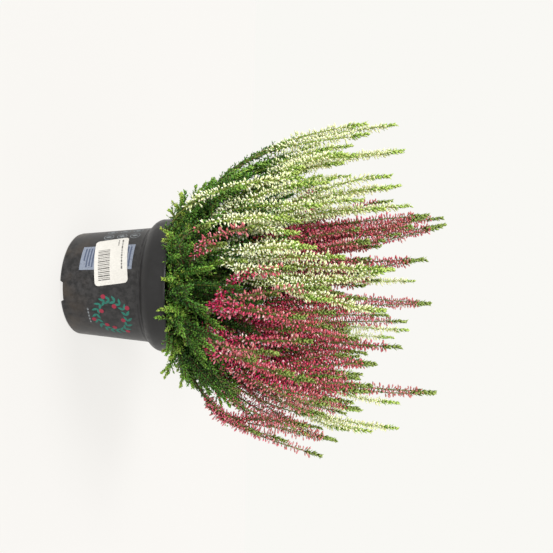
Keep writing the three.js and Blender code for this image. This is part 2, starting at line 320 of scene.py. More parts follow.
def on_wall(heading, middle_height, tilt=0.0):
    """A function that lays a point (across, up, out), in millimetres, on the pot's cone."""
    turn = math.radians(tilt)

    def place_point(across, up, out):
        z = middle_height + across * math.sin(turn) + up * math.cos(turn)
        around = across * math.cos(turn) - up * math.sin(turn)
        radius = wall_radius(z) + out
        angle = math.radians(heading) + around / wall_radius(middle_height)
        return (radius * math.cos(angle) * MM, radius * math.sin(angle) * MM, z * MM)
    return place_point


def flat_bar(left, right, low, high, columns=None):
    """A rectangle as a row of cells, so that it can follow a round wall."""
    columns = columns or max(1, round((right - left) / 1.5))
    xs = np.linspace(left, right, columns + 1)
    points = [(x, y) for y in (low, high) for x in xs]
    count = columns + 1
    return points, [[i, i + 1, count + i + 1, count + i] for i in range(columns)]


def flat_disc(x, y, radius, sides=16, inner=0.0):
    """A disc, or a ring where it has an inner radius."""
    angles = [2 * math.pi * i / sides for i in range(sides)]
    outer = [(x + radius * math.cos(a), y + radius * math.sin(a)) for a in angles]
    if not inner:
        return [*outer, (x, y)], [[i, (i + 1) % sides, sides] for i in range(sides)]
    ring = [(x + inner * math.cos(a), y + inner * math.sin(a)) for a in angles]
    return outer + ring, [[i, (i + 1) % sides, sides + (i + 1) % sides, sides + i] for i in range(sides)]


def flat_leaf(x, y, heading, length, width, steps=6):
    """A pointed leaf from (x, y), along a heading in degrees."""
    along = np.array([math.cos(math.radians(heading)), math.sin(math.radians(heading))])
    side = np.array([-along[1], along[0]])
    root = np.array([x, y])
    right, left = [], []
    for i in range(1, steps):
        share = i / steps
        half = width / 2 * math.sin(math.pi * share ** 0.8)
        right.append(tuple(root + along * length * share - side * half))
        left.append(tuple(root + along * length * share + side * half))
    points = [tuple(root), *right, tuple(root + along * length), *reversed(left)]
    last = len(points)
    middle = [[i, i + 1, last - i - 1, last - i] for i in range(1, steps - 1)]
    return points, [[0, 1, last - 1], *middle, [steps - 1, steps, steps + 1]]


def skin(name, flats, place_point, low, high, material):
    """Closed skins over flat shapes, from a low to a high distance off the wall, as one object."""
    vertices, faces = [], []
    for points, cells in flats:
        start, count = len(vertices), len(points)
        vertices += [place_point(x, y, high(x, y) if callable(high) else high) for x, y in points]
        vertices += [place_point(x, y, low(x, y) if callable(low) else low) for x, y in points]
        edges = {(a, b) for cell in cells for a, b in zip(cell, cell[1:] + cell[:1])}
        faces += [[start + i for i in cell] for cell in cells]
        faces += [[start + count + i for i in reversed(cell)] for cell in cells]
        outer = [(a, b) for a, b in edges if (b, a) not in edges]
        faces += [[start + b, start + a, start + count + a, start + count + b] for a, b in outer]
    made = plain_object(name, vertices, faces, smooth=False)
    made.data.materials.append(material)
    return outward(made)


front_point = on_wall(-90, 40)(5, 0, 0)
print("5 mm right of the wall's front, in mm:", [round(c / MM, 1) for c in front_point])

# %% [markdown]
# Offset ink on polypropylene is a thin, slightly chalky film: it scatters more than the plastic round it,
# and it is worn through in specks where pots rubbed together. The specks come from a noise with grains of
# about a millimetre, coarser than real ones, which would be too fine to show.

# %% Worn offset ink
def offset_ink(name, colour, worn_colour="#2a292c", wear=0.5):
    """Ink of one colour, worn towards another in specks: wear is how far the barest speck goes."""
    material, tree, shader = new_material(name, roughness=0.62, ior=1.45)
    place = add(tree, "ShaderNodeTexCoord").outputs["Object"]
    specks = add(tree, "ShaderNodeTexNoise", {
        "Vector": place, "Scale": 1 / (1.1 * MM), "Detail": 4.0, "Roughness": 0.65})
    worn = add(tree, "ShaderNodeMapRange", {
        "Value": specks.outputs[0], "From Min": 0.52, "From Max": 0.68, "To Max": wear})
    mixed = add(tree, "ShaderNodeMix", {
        0: worn.outputs[0], 6: linear(colour), 7: linear(worn_colour)}, data_type="RGBA")
    tree.links.new(mixed.outputs[2], shader.inputs["Base Color"])
    return material


inks = {
    "panel": offset_ink("offset_ink_grey_blue", "#7f8796"),
    "bars": offset_ink("offset_ink_slate", "#4b556b", wear=0.3),
    "marks": offset_ink("offset_ink_pale_grey", "#7a7f82", wear=0.7),
    "leaves": offset_ink("offset_ink_sea_green", "#1f6a5c", wear=0.45),
    "berries": offset_ink("offset_ink_crimson", "#8f2238", wear=0.4),
}
print("inks:", list(inks))

# %% The panel with its bars, and the care marks
panel_wall = on_wall(-118.3, 36.4, 0.6)
panel_half_width, panel_half_height = 11.15, 21.3
bar_lengths = [18, 18, 15, 18, 17, 18, 13, 18, 18, 16, 18, 18, 14, 18, 17, 18, 12]
bar_left, bar_low, bar_high, bar_pitch = -9, 18.0, 19.2, 2.3
panel_bars = []
for i, length in enumerate(bar_lengths):
    drop = bar_pitch * i
    panel_bars.append(flat_bar(bar_left, bar_left + length, bar_low - drop, bar_high - drop))
panel_sheet = flat_bar(-panel_half_width, panel_half_width, -panel_half_height, panel_half_height)
prints = [
    skin("print_panel", [panel_sheet], panel_wall, ink_gap, ink_top, inks["panel"]),
    skin("print_panel_bars", panel_bars, panel_wall, ink_top, second_ink_top, inks["bars"]),
]

mark_wall = on_wall(-152.5, 42)
mark_columns, first_mark_row, mark_pitch = (-5.2, 5.2), 12, 11
mark_ring, mark_ring_inside = 4.2, 3.6
marks = []
for row in range(3):
    for column, x in enumerate(mark_columns):
        y = first_mark_row - mark_pitch * row
        marks.append(flat_disc(x, y, mark_ring, 24, mark_ring_inside))
        # inside the ring, a leaf or a flower with six petals
        if (row + column) % 2:
            marks.append(flat_leaf(x, y - 2.7, 90, 5.4, 3.0))
        else:
            marks.append(flat_disc(x, y, 1.5))
            marks += [flat_leaf(x, y, turn, 3.0, 1.3) for turn in range(0, 360, 60)]
prints.append(skin("print_marks", marks, mark_wall, ink_gap, ink_top, inks["marks"]))
print("bars:", len(panel_bars), "shapes in the care marks:", len(marks))

# %% The wreath ornament
wreath_wall = on_wall(-58, 41)
wreath_width, wreath_height, wreath_pairs = 15.5, 12.5, 18
leaf_splay, leaf_length, leaf_width = 38, 5.6, 2.2
outer_berry_share, inner_berry_share, berry_radius = 1.25, 0.72, 1.9
foot_bars, foot_pitch, foot_left, foot_right = 5, 3.2, -7.4, -5.4
wreath_leaves, wreath_berries = [], []
for i in range(wreath_pairs):
    angle = 360 / wreath_pairs * i
    x = wreath_width * math.cos(math.radians(angle))
    y = wreath_height * math.sin(math.radians(angle))
    for splay in (leaf_splay, -leaf_splay):
        wreath_leaves.append(flat_leaf(x, y, angle + 90 + splay, leaf_length, leaf_width))
    if i % 2 == 0:
        reach = outer_berry_share if i % 4 else inner_berry_share
        wreath_berries.append(flat_disc(x * reach, y * reach, berry_radius, 14))
wreath_foot = [flat_bar(foot_pitch * i + foot_left, foot_pitch * i + foot_right, -19.6, -18.4, 2)
               for i in range(foot_bars)]
prints += [
    skin("print_wreath_leaves", wreath_leaves, wreath_wall, ink_gap, ink_top, inks["leaves"]),
    skin("print_wreath_berries", wreath_berries, wreath_wall, ink_top, second_ink_top, inks["berries"]),
    skin("print_wreath_foot", wreath_foot, wreath_wall, ink_gap, ink_top, inks["marks"]),
]
for one in prints:
    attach(one, "root")
print("print pieces:", [one.name for one in prints])

# %% [markdown]
# ## The label
#
# The shop's label is coated paper with a thermal print, stuck on by hand, so it leans and its lower right
# corner has begun to lift. It is a bent sheet with a real thickness. Its face gets the faint waviness of
# paper on a cold wall, and its print is two rows of short dashes and a field of plain stripes in a
# repeating rhythm.

# %% Coated paper and thermal print
paper, tree, shader = new_material("coated_label_paper", roughness=0.45, ior=1.5)
place = add(tree, "ShaderNodeTexCoord").outputs["Object"]
fibres = add(tree, "ShaderNodeTexNoise", {"Vector": place, "Scale": 1 / (1.5 * MM), "Detail": 6.0})
tint = fill_ramp(add(tree, "ShaderNodeValToRGB", {0: fibres.outputs[0]}),
                 [(0.3, "#cdcac3"), (0.7, "#d8d5ce")])
tree.links.new(tint, shader.inputs["Base Color"])
waves = add(tree, "ShaderNodeTexNoise", {"Vector": place, "Scale": 1 / (9 * MM), "Detail": 1.0})
wavy = add(tree, "ShaderNodeBump", {"Strength": 0.3, "Distance": 0.5 * MM, "Height": waves.outputs[0]})
tree.links.new(wavy.outputs[0], shader.inputs["Normal"])
thermal = offset_ink("thermal_print_grey", "#625f5b", worn_colour="#d8d8d6", wear=0.5)
print("made", paper.name, "and", thermal.name)

# %% The bent sheet and what is printed on it
label_width, label_height, label_corner, label_gap, label_thickness = 42.0, 26.5, 3.0, 0.3, 0.3
label_wall = on_wall(-115.5, 40, 8)
# where the lift starts on the diagonal, which runs from 0 in the middle to 2 at the corner, how high the
# sheet would be in mm a length of 1 further on, and the power by which it rises
lift_start, lift_height, lift_power = 1.25, 1.5, 1.7


def label_lift(across, up):
    """How far the sheet stands off: flat all over, and lifting at its lower right corner."""
    reach = (across / label_width - up / label_height) * 2 - lift_start
    return label_gap + lift_height * max(0.0, reach) ** lift_power


def label_cells():
    """A grid of cells whose end columns are shortened to round the corners."""
    half, low = label_width / 2, label_height / 2
    left = [-half + label_corner * (1 - math.cos(math.pi / 2 * i / 5)) for i in range(6)]
    inner = np.linspace(-half + label_corner, half - label_corner, 22)[1:-1]
    columns = [*left, *inner, *(-x for x in reversed(left))]
    rows = 12
    points = []
    for x in columns:
        into = max(0.0, abs(x) - (half - label_corner))
        reach = low - (label_corner - math.sqrt(label_corner ** 2 - into ** 2))
        points += [(x, -reach + 2 * reach * j / rows) for j in range(rows + 1)]
    stride = rows + 1
    cells = [[i * stride + j, (i + 1) * stride + j, (i + 1) * stride + j + 1, i * stride + j + 1]
             for i in range(len(columns) - 1) for j in range(rows)]
    return points, cells


label = skin("shop_label", [label_cells()], label_wall, label_lift,
             lambda x, y: label_lift(x, y) + label_thickness, paper)
for face in label.data.polygons:
    face.use_smooth = True
label.data.set_sharp_from_angle(angle=math.radians(40))
dash_left, dash_gap = -18.5, 0.7
dash_rows = [
    # the height of the row's middle, how tall its dashes are, and their lengths
    (8.8, 1.1, [2.6, 1.5, 1.2, 2.9, 1.8, 1.1, 2.4, 1.4, 2.2, 1.6, 2.7]),
    (5.6, 0.9, [1.6, 2.1, 1.2]),
]
stripe_widths, stripe_gap, stripe_count = (0.5, 0.9, 0.5, 1.2), 0.75, 18
stripe_left, stripe_low, stripe_high = -9.5, -10.2, -0.8
label_print = []
for y, tall, dashes in dash_rows:
    x = dash_left
    for length in dashes:
        label_print.append(flat_bar(x, x + length, y - tall / 2, y + tall / 2, 2))
        x += length + dash_gap
x = stripe_left
for i in range(stripe_count):
    wide = stripe_widths[i % len(stripe_widths)]
    label_print.append(flat_bar(x, x + wide, stripe_low, stripe_high, 1))
    x += wide + stripe_gap
label_ink = skin("label_print", label_print, label_wall,
                 lambda x, y: label_lift(x, y) + label_thickness + 0.01,
                 lambda x, y: label_lift(x, y) + label_thickness + 0.05, thermal)
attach(label, "root")
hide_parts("label")
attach(label_ink, "root")
print("label faces:", len(label.data.polygons), "marks on it:", len(label_print))

# %% [markdown]
# ## Reading the shoots
#
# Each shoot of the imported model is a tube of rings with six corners. The middle of each ring is a point
# on the shoot's line, so sorting the corners from root to tip and averaging them in groups gives that
# line back. A soft curve through those points is what every stem, leaf and flower is placed on.

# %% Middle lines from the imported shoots
rng = np.random.default_rng(41)
varieties = {"white_left": "white", "white_rear": "white", "pink_right": "crimson", "pink_rear": "crimson"}
# where each cutting stands in the soil, in mm
feet = {"white_left": (-24, -10), "pink_right": (24, -12), "pink_rear": (-14, 20), "white_rear": (16, 22)}
tube_sides = 6
line_step = 2 * MM


def middle_line(node, foot):
    """The middle points of a packed tube, from its root to its tip."""
    corners = sorted({tuple(round(c, 6) for c in v.co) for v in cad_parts[node].data.vertices})
    points = np.array(corners)
    level = np.linalg.norm(points[:, :2] - np.array(foot) * MM, axis=1)
    points = points[np.argsort(points[:, 2] if "shoot" in node else level)]
    # where the ends have a corner in their middle, the first and the last group are one larger
    first = tube_sides + (1 if len(points) % tube_sides == 2 else 0)
    inner = [points[i:i + tube_sides] for i in range(first, len(points) - first, tube_sides)]
    return np.array([group.mean(axis=0) for group in (points[:first], *inner, points[-first:])])


def evenly(line, start=0.0, end=None):
    """The stretch of a line between two lengths from its root, with a new point about every step."""
    along = np.concatenate([[0], np.cumsum(np.linalg.norm(np.diff(line, axis=0), axis=1))])
    end = along[-1] if end is None else end
    count = max(3, round((end - start) / line_step) + 1)
    spots = np.linspace(start, end, count)
    return np.stack([np.interp(spots, along, line[:, k]) for k in range(3)], axis=1)


def soft_line(points):
    """A Catmull-Rom curve through points."""
    padded = np.vstack([2 * points[0] - points[1], points, 2 * points[-1] - points[-2]])
    dense = []
    for i in range(1, len(padded) - 2):
        a, b, c, d = padded[i - 1:i + 3]
        for t in np.arange(0, 1, 0.1):
            dense.append(0.5 * (2 * b + (c - a) * t + (2 * a - 5 * b + 4 * c - d) * t ** 2
                                + (3 * b - a - 3 * c + d) * t ** 3))
    return evenly(np.array([*dense, points[-1]]))


def length_of(line):
    """The length of a line, in metres."""
    return float(np.linalg.norm(np.diff(line, axis=0), axis=1).sum())


mains, sprigs = [], []
for cutting, foot in feet.items():
    for node in sorted(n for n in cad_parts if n.startswith(cutting) and "rootstock" not in n):
        line = soft_line(middle_line(node, foot))
        group = mains if "shoot" in node else sprigs
        group.append({"cutting": cutting, "variety": varieties[cutting], "node": node, "line": line})
lengths = [round(length_of(main["line"]) / MM) for main in mains]
print("shoots:", len(mains), "sprigs:", len(sprigs), "lengths in mm:", min(lengths), "to", max(lengths))

# %% [markdown]
# ## Side shoots
#
# A heather branch carries more than one spike: a main one and a few that leave it lower down and rise
# beside it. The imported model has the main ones, and the rest follow four rules. Where the crown has a
# spike that stands out, one leaves the nearest main shoot for a tip of its own, and a few of these stay
# leafy. Where no main shoot leads the right way, a bowed spike rises from the soil in a curve of its own.
# Each main shoot but the outermost also gets two or three that leave it low, step inwards by about a
# centimetre and end somewhat lower. The last ones fill the crown: a spot on a sunflower pattern gets a
# spike when no other tip is within a centimetre of it, and the mass of the crown falls off towards its
# edge. Each shoot also notes how long its leafy tip is, as a share of the usual length.

# %% Where the spikes that stand out have their tips
own_tips = [
    # a cutting and the tip of one of its spikes, in mm
    ("white_left", (-126, -45, 243)), ("white_left", (-89, -60, 257)), ("white_rear", (20, 20, 277)),
    ("white_left", (6, -90, 208)), ("pink_right", (56, -60, 248)), ("pink_rear", (-40, 30, 266)),
    ("pink_right", (27, -70, 213)), ("pink_right", (7, -36, 246)),
    ("pink_right", (120, -6, 192)), ("pink_right", (132, -2, 204)),
    ("pink_right", (62, -28, 256)), ("pink_right", (72, -40, 240)), ("pink_right", (84, -36, 248)),
    ("pink_right", (95, -28, 238)), ("pink_right", (104, -16, 246)), ("pink_right", (94, 2, 262)),
    ("pink_right", (70, 4, 262)), ("pink_right", (112, -4, 236)), ("pink_right", (50, -14, 260)),
    ("pink_right", (100, -46, 212)), ("pink_right", (84, -62, 218)), ("pink_right", (114, -34, 200)),
    ("pink_right", (66, -76, 200)), ("pink_right", (36, -84, 196)), ("pink_right", (38, -52, 236)),
    ("white_left", (-112, -34, 236)), ("white_left", (-101, -50, 222)), ("white_left", (-84, -40, 262)),
    ("white_left", (-66, -46, 256)), ("white_left", (-52, -64, 188)),
    ("white_left", (-42, -76, 186)), ("white_left", (-80, -72, 206)), ("white_left", (-33, -62, 200)),
    ("white_left", (14, -74, 250)), ("pink_right", (60, 32, 214)),
    ("pink_rear", (-48, -24, 276)), ("pink_rear", (-56, -10, 292)), ("pink_rear", (-38, -16, 262)),
    ("white_left", (-104, -50, 205)), ("white_left", (-94, -60, 190)), ("white_left", (-112, -34, 212)),
    ("pink_right", (78, -14, 244)), ("pink_right", (88, -22, 226)), ("pink_right", (54, -36, 232)),
    ("white_rear", (134, 16, 244)), ("pink_right", (134, -14, 184)), ("pink_right", (57, 6, 236)),
    ("pink_rear", (-39, 10, 246)), ("pink_rear", (-24, -4, 254)), ("white_rear", (131, 4, 262)),
]
leafy_tips = [
    ("white_left", (-73, -80, 146)), ("pink_right", (79, -60, 144)), ("white_left", (-106, -34, 170)),
    ("white_left", (-108, -6, 176)), ("white_left", (-94, -52, 150)), ("pink_right", (2, -16, 172)),
    ("white_left", (-114, -22, 188)), ("white_left", (-101, -44, 162)),
]
bowed_spikes = [
    # a cutting, a root in the soil, the point its curve bends towards, and its tip, in mm
    ("white_left", (-34, -30, 82), (-72, -94, 90), (-85, -64, 190)),
    ("white_left", (-20, -34, 82), (-50, -102, 92), (-52, -84, 178)),
    ("white_left", (-34, -16, 82), (-92, -44, 120), (-116, -38, 214)),
    ("white_left", (-36, -8, 82), (-98, -20, 112), (-124, -20, 206)),
    ("white_left", (-30, -24, 82), (-84, -58, 124), (-108, -54, 220)),
    ("pink_right", (24, -16, 82), (44, -26, 150), (54, -26, 250)),
    ("pink_right", (34, -16, 82), (96, -30, 112), (118, -24, 190)),
    ("pink_right", (34, 0, 82), (68, 14, 120), (64, 14, 252)),
    ("white_left", (-34, 4, 82), (-116, 24, 150), (-138, 40, 296)),
    ("pink_rear", (-10, 14, 82), (-28, 10, 215), (-59, 6, 325)),
    ("pink_rear", (-16, 10, 82), (-34, -10, 190), (-63, -23, 298)),
    ("pink_rear", (-8, 6, 82), (-8, -8, 215), (-27, -20, 298)),
    ("pink_rear", (-16, 4, 82), (-40, -14, 170), (-55, -24, 286)),
    ("pink_rear", (-12, 0, 82), (-30, -16, 160), (-42, -28, 262)),
    ("pink_rear", (-14, -2, 82), (-36, -22, 150), (-50, -36, 238)),
    ("white_left", (-16, -24, 82), (6, -54, 190), (-17, -60, 259)),
    ("pink_rear", (4, 16, 82), (21, 34, 200), (15, 40, 327)),
    ("pink_right", (28, -14, 82), (92, -22, 170), (89, -20, 309)),
    ("pink_right", (34, -6, 82), (131, -2, 132), (137, 0, 227)),
    ("pink_right", (34, -14, 82), (92, -28, 96), (126, -20, 160)),
    ("pink_right", (34, -8, 82), (98, -14, 128), (112, -12, 206)),
    ("pink_right", (34, 8, 82), (100, 16, 130), (116, 14, 208)),
]
print("own tips:", len(own_tips), "leafy tips:", len(leafy_tips), "bowed spikes:", len(bowed_spikes))

# %% Lines of the side shoots
def side_line(parent, start_share, target, spread):
    """A line that leaves the parent at a share of its length and ends at the target."""
    kept = parent[int(start_share * (len(parent) - 1)):]
    share = np.linspace(0, 1, len(kept))[:, None]
    eased = np.clip(share / spread, 0, 1)
    eased = eased ** 2 * (3 - 2 * eased)
    shift = np.array(target) - kept[-1]
    moved = kept + np.hstack([eased * shift[:2], share * shift[2]])
    thinned = moved[::3]
    if (len(moved) - 1) % 3:
        thinned = np.vstack([thinned, moved[-1:]])
    return soft_line(thinned)


def bowed_line(root, bend, tip, count):
    """A line from root to tip that curves towards a third point, drawn through a number of points."""
    share = np.linspace(0, 1, count)[:, None]
    return soft_line(root * (1 - share) ** 2 + 2 * bend * share * (1 - share) + tip * share ** 2)


def nearest_main(cutting, tip):
    """The main shoot of a cutting whose tip is nearest."""
    own = [main for main in mains if main["cutting"] == cutting]
    return min(own, key=lambda main: np.linalg.norm(main["line"][-1] - tip))


crown_top, crown_flat_radius, crown_fall = 246 * MM, 60 * MM, 0.7
gap_left, gap_right, gap_back, gap_top = -64 * MM, -36 * MM, 14 * MM, 182 * MM


def crown_height(spot, variety):
    """How high the crown's mass reaches over a spot: less towards its edge, and less in the white's gap."""
    height = crown_top - crown_fall * max(0.0, np.linalg.norm(spot) - crown_flat_radius)
    in_gap = gap_left < spot[0] < gap_right and spot[1] < gap_back
    return min(height, gap_top) if variety == "white" and in_gap else height


sides = []
for cutting, tip in own_tips + leafy_tips:
    target = np.array(tip) * MM
    parent = nearest_main(cutting, target)
    line = side_line(parent["line"], 0.22, target, spread=1.0)
    tip_share = 1.0 if varieties[cutting] == "white" else 0.7
    sides.append({**parent, "line": line, "leafy": (cutting, tip) in leafy_tips, "tip_share": tip_share})

# low white spikes bloom further down, and the lower crimson ones of the middle have short leafy tips
low_white_tip, low_middle_tip = 195 * MM, 290 * MM
for cutting, *points in bowed_spikes:
    root, bend, tip = (np.array(point) * MM for point in points)
    sides.append({"cutting": cutting, "variety": varieties[cutting], "line": bowed_line(root, bend, tip, 9),
                  "low_bloom": cutting == "white_left" and tip[2] < low_white_tip,
                  "tip_share": 0.4 if cutting == "pink_rear" and tip[2] < low_middle_tip else 1.0})

# end_shares is how far up the main shoot each of its side shoots ends
outermost_radius, behind_y, end_shares, side_tip_share = 128 * MM, 30 * MM, (0.62, 0.8, 0.9), 0.65
for parent in mains:
    line = parent["line"]
    behind, outermost = line[-1][1] > behind_y, np.linalg.norm(line[-1][:2]) > outermost_radius
    for k in range(0 if outermost else 3 if behind else 2):
        start = rng.uniform(0.18, 0.4)
        end = end_shares[k] + rng.uniform(-0.07, 0.07)
        turn = rng.uniform(0, 2 * math.pi)
        aside = rng.uniform(8, 17) * MM
        step = np.array([math.cos(turn), math.sin(turn), 0]) * aside
        if step @ line[-1] > 0:
            step = -step
        target = line[int(end * (len(line) - 1))] + step
        target[2] = min(target[2], crown_height(target[:2], parent["variety"]))
        rising = side_line(line, start, target, spread=0.5)
        sides.append({**parent, "line": rising, "tip_share": side_tip_share})

golden_angle = math.pi * (3 - math.sqrt(5))
crown_radius, crown_spots, clear_radius = 112 * MM, 220, 10.5 * MM
# a lane from the middle to the front where only crimson spikes fill the crown
lane_left, lane_right, lane_back = -44 * MM, 12 * MM, 30 * MM
for i in range(crown_spots):
    reach = crown_radius * math.sqrt((i + 0.5) / crown_spots)
    spot = np.array([reach * math.cos(golden_angle * i), reach * math.sin(golden_angle * i)])
    if min(np.linalg.norm(shoot["line"][-1][:2] - spot) for shoot in mains + sides) < clear_radius:
        continue
    in_lane = lane_left < spot[0] < lane_right and spot[1] < lane_back
    near = [main for main in mains if main["variety"] == "crimson"] if in_lane else mains
    parent = min(near, key=lambda main: np.linalg.norm(main["line"][-1][:2] - spot))
    tall = min(parent["line"][-1][2] * rng.uniform(0.78, 0.94), crown_height(spot, parent["variety"]))
    line = side_line(parent["line"], 0.2, np.array([*spot, tall]), spread=1.0)
    sides.append({**parent, "line": line, "tip_share": side_tip_share})
print("side shoots:", len(sides))

# %% [markdown]
# ## The leafy skirt
#
# Below the flowers a heather is a cushion of short leafy shoots. They start low, lean out over the rim
# and turn up at their ends. A fixed number is spread over the soil in eight tiers by the golden angle, as
# seeds are in a sunflower, so that no heading is left bare. The tips of all but the two lowest tiers hang
# lower in front, and no tip reaches further out than a cone that widens upwards from the rim. Nine more
# fronds that stand out at the sides are placed one by one. Each shoot belongs to the cutting nearest its
# root, and each of the nine fronds to the front cutting on its side.

# %% Lines of the short leafy shoots
def leafy_line(root, tip, rise):
    """A curve from root to tip that first rises, then leans out."""
    middle = (root + tip) / 2 + np.array([0, 0, rise])
    return bowed_line(root, middle, tip, 7)


tiers = [
    # count, then in mm the radius of the roots, the radius and the height of the tips and the rise, then how
    # fresh the green is, and the share by which tips hang lower in front; the low greens of the inner tiers
    # stand for older leaves and are also painted shade inside the cushion
    (26, (38, 46), (60, 71), (82, 93), 18, 0.85, 0.0),
    (50, (36, 47), (56, 73), (88, 103), 9, 0.72, 0.0),
    (56, (26, 46), (64, 92), (95, 126), 6, 0.35, 0.07),
    (72, (18, 44), (74, 105), (116, 166), -2, 0.2, 0.14),
    (66, (2, 48), (2, 58), (98, 122), 3, 0.14, 0.07),
    (38, (4, 44), (10, 72), (122, 160), 2, 0.08, 0.14),
    (32, (4, 30), (8, 54), (146, 186), 0, 0.05, 0.14),
    (34, (8, 40), (34, 92), (158, 204), -4, 0.04, 0.14),
]
root_height, cone_foot, cone_foot_radius, cone_widening = 80.5, 80 * MM, 76 * MM, 0.52
wide_share, deep_share = 1.06, 0.96
own_fronds = [
    # where the root and the tip of a frond are, in mm, for fronds that stand out from the rim
    ((34, -26, 80.5), (88, -14, 102)), ((40, -14, 80.5), (77, -22, 80)), ((38, -10, 80.5), (93, -6, 109)),
    ((-34, -20, 80.5), (-80, -16, 88)), ((38, 8, 80.5), (84, 4, 99)), ((-36, 12, 80.5), (-84, 10, 99)),
    ((38, -12, 80.5), (87, -16, 92)), ((30, -10, 80.5), (103, -12, 127)),
    ((30, -4, 80.5), (108, -8, 142)),
]
skirt = []
for root, tip in own_fronds:
    cutting = "pink_right" if tip[0] > 0 else "white_left"
    line = leafy_line(np.array(root) * MM, np.array(tip) * MM, 11 * MM)
    fresh = rng.uniform(0.3, 0.8)
    skirt.append({"cutting": cutting, "variety": varieties[cutting], "line": line, "fresh": fresh})
for number, (count, roots, tips, heights, rise, green, dip) in enumerate(tiers):
    for i in range(count):
        heading = golden_angle * i + number + rng.uniform(-0.2, 0.2)
        outward_share = math.sqrt((i + rng.uniform(0, 1)) / count)
        root_radius, tip_radius = (low + (high - low) * outward_share for low, high in (roots, tips))
        root = np.array([root_radius * math.cos(heading), root_radius * math.sin(heading), root_height]) * MM
        swerve = heading + rng.uniform(-0.4, 0.4)
        tip_height = rng.uniform(*heights) * (1 - dip * max(0.0, -math.sin(swerve)))
        tip = np.array([wide_share * tip_radius * math.cos(swerve),
                        deep_share * tip_radius * math.sin(swerve), tip_height]) * MM
        widest = cone_foot_radius + cone_widening * (tip[2] - cone_foot)
        tip[:2] *= min(1.0, widest / np.linalg.norm(tip[:2]))
        cutting = min(feet, key=lambda c: np.linalg.norm(np.array(feet[c]) * MM - root[:2]))
        line = leafy_line(root, tip, rise * MM)
        # a low green paints an inner leafy shoot dark, partly as older leaves and partly as painted shade
        fresh = min(1.0, green * rng.uniform(0.4, 1.6))
        skirt.append({"cutting": cutting, "variety": varieties[cutting], "line": line, "fresh": fresh})
print("leafy shoots:", len(skirt))

# %% [markdown]
# ## Zones along a shoot
#
# From the tip down, a shoot has a leafy tip of about a centimetre, a spike of buds, and a long lower part
# with short leafy twigs. The oldest buds, lowest on the spike, hang a little, and the young ones near the
# tip point up. The outermost and some of the tallest spikes have begun to fade, the rear ones a little, and
# the faded ones have dropped some buds. Each zone becomes a chain of points with four values: `age`, from 0
# at its young end to 1 at its old end, `size`, `radius` for stems, and `fresh`, which says how fresh a
# leaf's green is and, for a bud, how faded it is. A guide object holds all chains of one kind.

# %% Helpers for chains of points
def part_of(line, low, high):
    """The stretch of a line between two lengths from its tip, in metres, as a finely stepped line."""
    total = length_of(line)
    return evenly(line, max(0.0, total - high), total - low)


def length_above(line, height):
    """How much of a line's length lies above a height."""
    steps = np.linalg.norm(np.diff(line, axis=0), axis=1)
    return float(steps[line[1:, 2] > height].sum())


def chain(points, age, size, fresh=0.0, radius=0.0):
    """A chain of guide points: each value is one number or a pair from its first point to its last."""
    share = np.linspace(0, 1, len(points))
    made = {"points": points}
    for key, value in {"age": age, "size": size, "fresh": fresh, "radius": radius}.items():
        first, last = value if isinstance(value, tuple) else (value, value)
        made[key] = first + (last - first) * share
    return made


def guide(name, chains):
    """A mesh of edges with the chains' values as attributes of its points."""
    mesh = bpy.data.meshes.new(name)
    points = np.vstack([c["points"] for c in chains])
    edges, start = [], 0
    for c in chains:
        edges += [(start + i, start + i + 1) for i in range(len(c["points"]) - 1)]
        start += len(c["points"])
    mesh.from_pydata(points.tolist(), edges, [])
    for key in ("age", "size", "fresh", "radius"):
        values = np.concatenate([c[key] for c in chains]).astype(np.float32)
        mesh.attributes.new(key, "FLOAT", "POINT").data.foreach_set("value", values)
    made = bpy.data.objects.new(name, mesh)
    bpy.context.scene.collection.objects.link(made)
    return made


sample = part_of(mains[0]["line"], 5 * MM, 15 * MM)
print("points from 5 to 15 mm below a tip:", len(sample))

# %% The rules of a spike, and its branchlets and twigs
spikes = {
    # tip, spacing and branch_pitch in mm; the floors are the heights in mm under which no buds grow, and
    # bud_share puts the lowest bud at a share of the tip's height; sizes are shares of a shape's own size;
    # greens run from 0, old, to 1, fresh; lean in degrees, from young to old; dropped is the share of buds
    # that a wholly faded spike has lost
    "white": {"tip": (10, 16), "tip_green": (0.5, 0.85), "bud_floor": 123, "outer_floor": 165,
              "bud_share": 0.52, "young_size": 1.0, "spacing": 0.58, "young_spacing": 0.47,
              "lean": (48, 104), "branch_pitch": 10, "leaf_size": 0.8, "leaf_green": 0.85, "dropped": 0.2},
    "crimson": {"tip": (12, 17), "tip_green": (0.38, 0.64), "bud_floor": 112, "outer_floor": 116,
                "bud_share": 0.50, "young_size": 1.0, "spacing": 0.47, "young_spacing": 0.48,
                "lean": (68, 100), "branch_pitch": 9, "leaf_size": 0.75, "leaf_green": 0.5, "dropped": 0.65},
}
kinds_of_chain = ("old_buds", "young_buds", "branch_buds", "tip_leaves", "frond_leaves", "spike_leaves",
                  "twigs", "twig_stems", "stems")
parts = {cutting: {kind: [] for kind in kinds_of_chain} for cutting in feet}


def side_heading(stretch, k, number, leans):
    """A direction that leans away from a line at its k-th point, turned by the golden angle each time."""
    tangent = stretch[k + 1] - stretch[k]
    tangent /= np.linalg.norm(tangent)
    across = np.cross(tangent, [0.31, 0.2, 0.93])
    across /= np.linalg.norm(across)
    turn = number * golden_angle + rng.uniform(-0.4, 0.4)
    out = across * math.cos(turn) + np.cross(tangent, across) * math.sin(turn)
    lean = math.radians(rng.uniform(*leans))
    return tangent * math.cos(lean) + out * math.sin(lean)


# how far branchlets and twigs lean out, in degrees, and by what share of its length each bends up
branchlet_lean, branchlet_bend, twig_lean, twig_bend = (32, 52), 0.3, (38, 62), 0.22


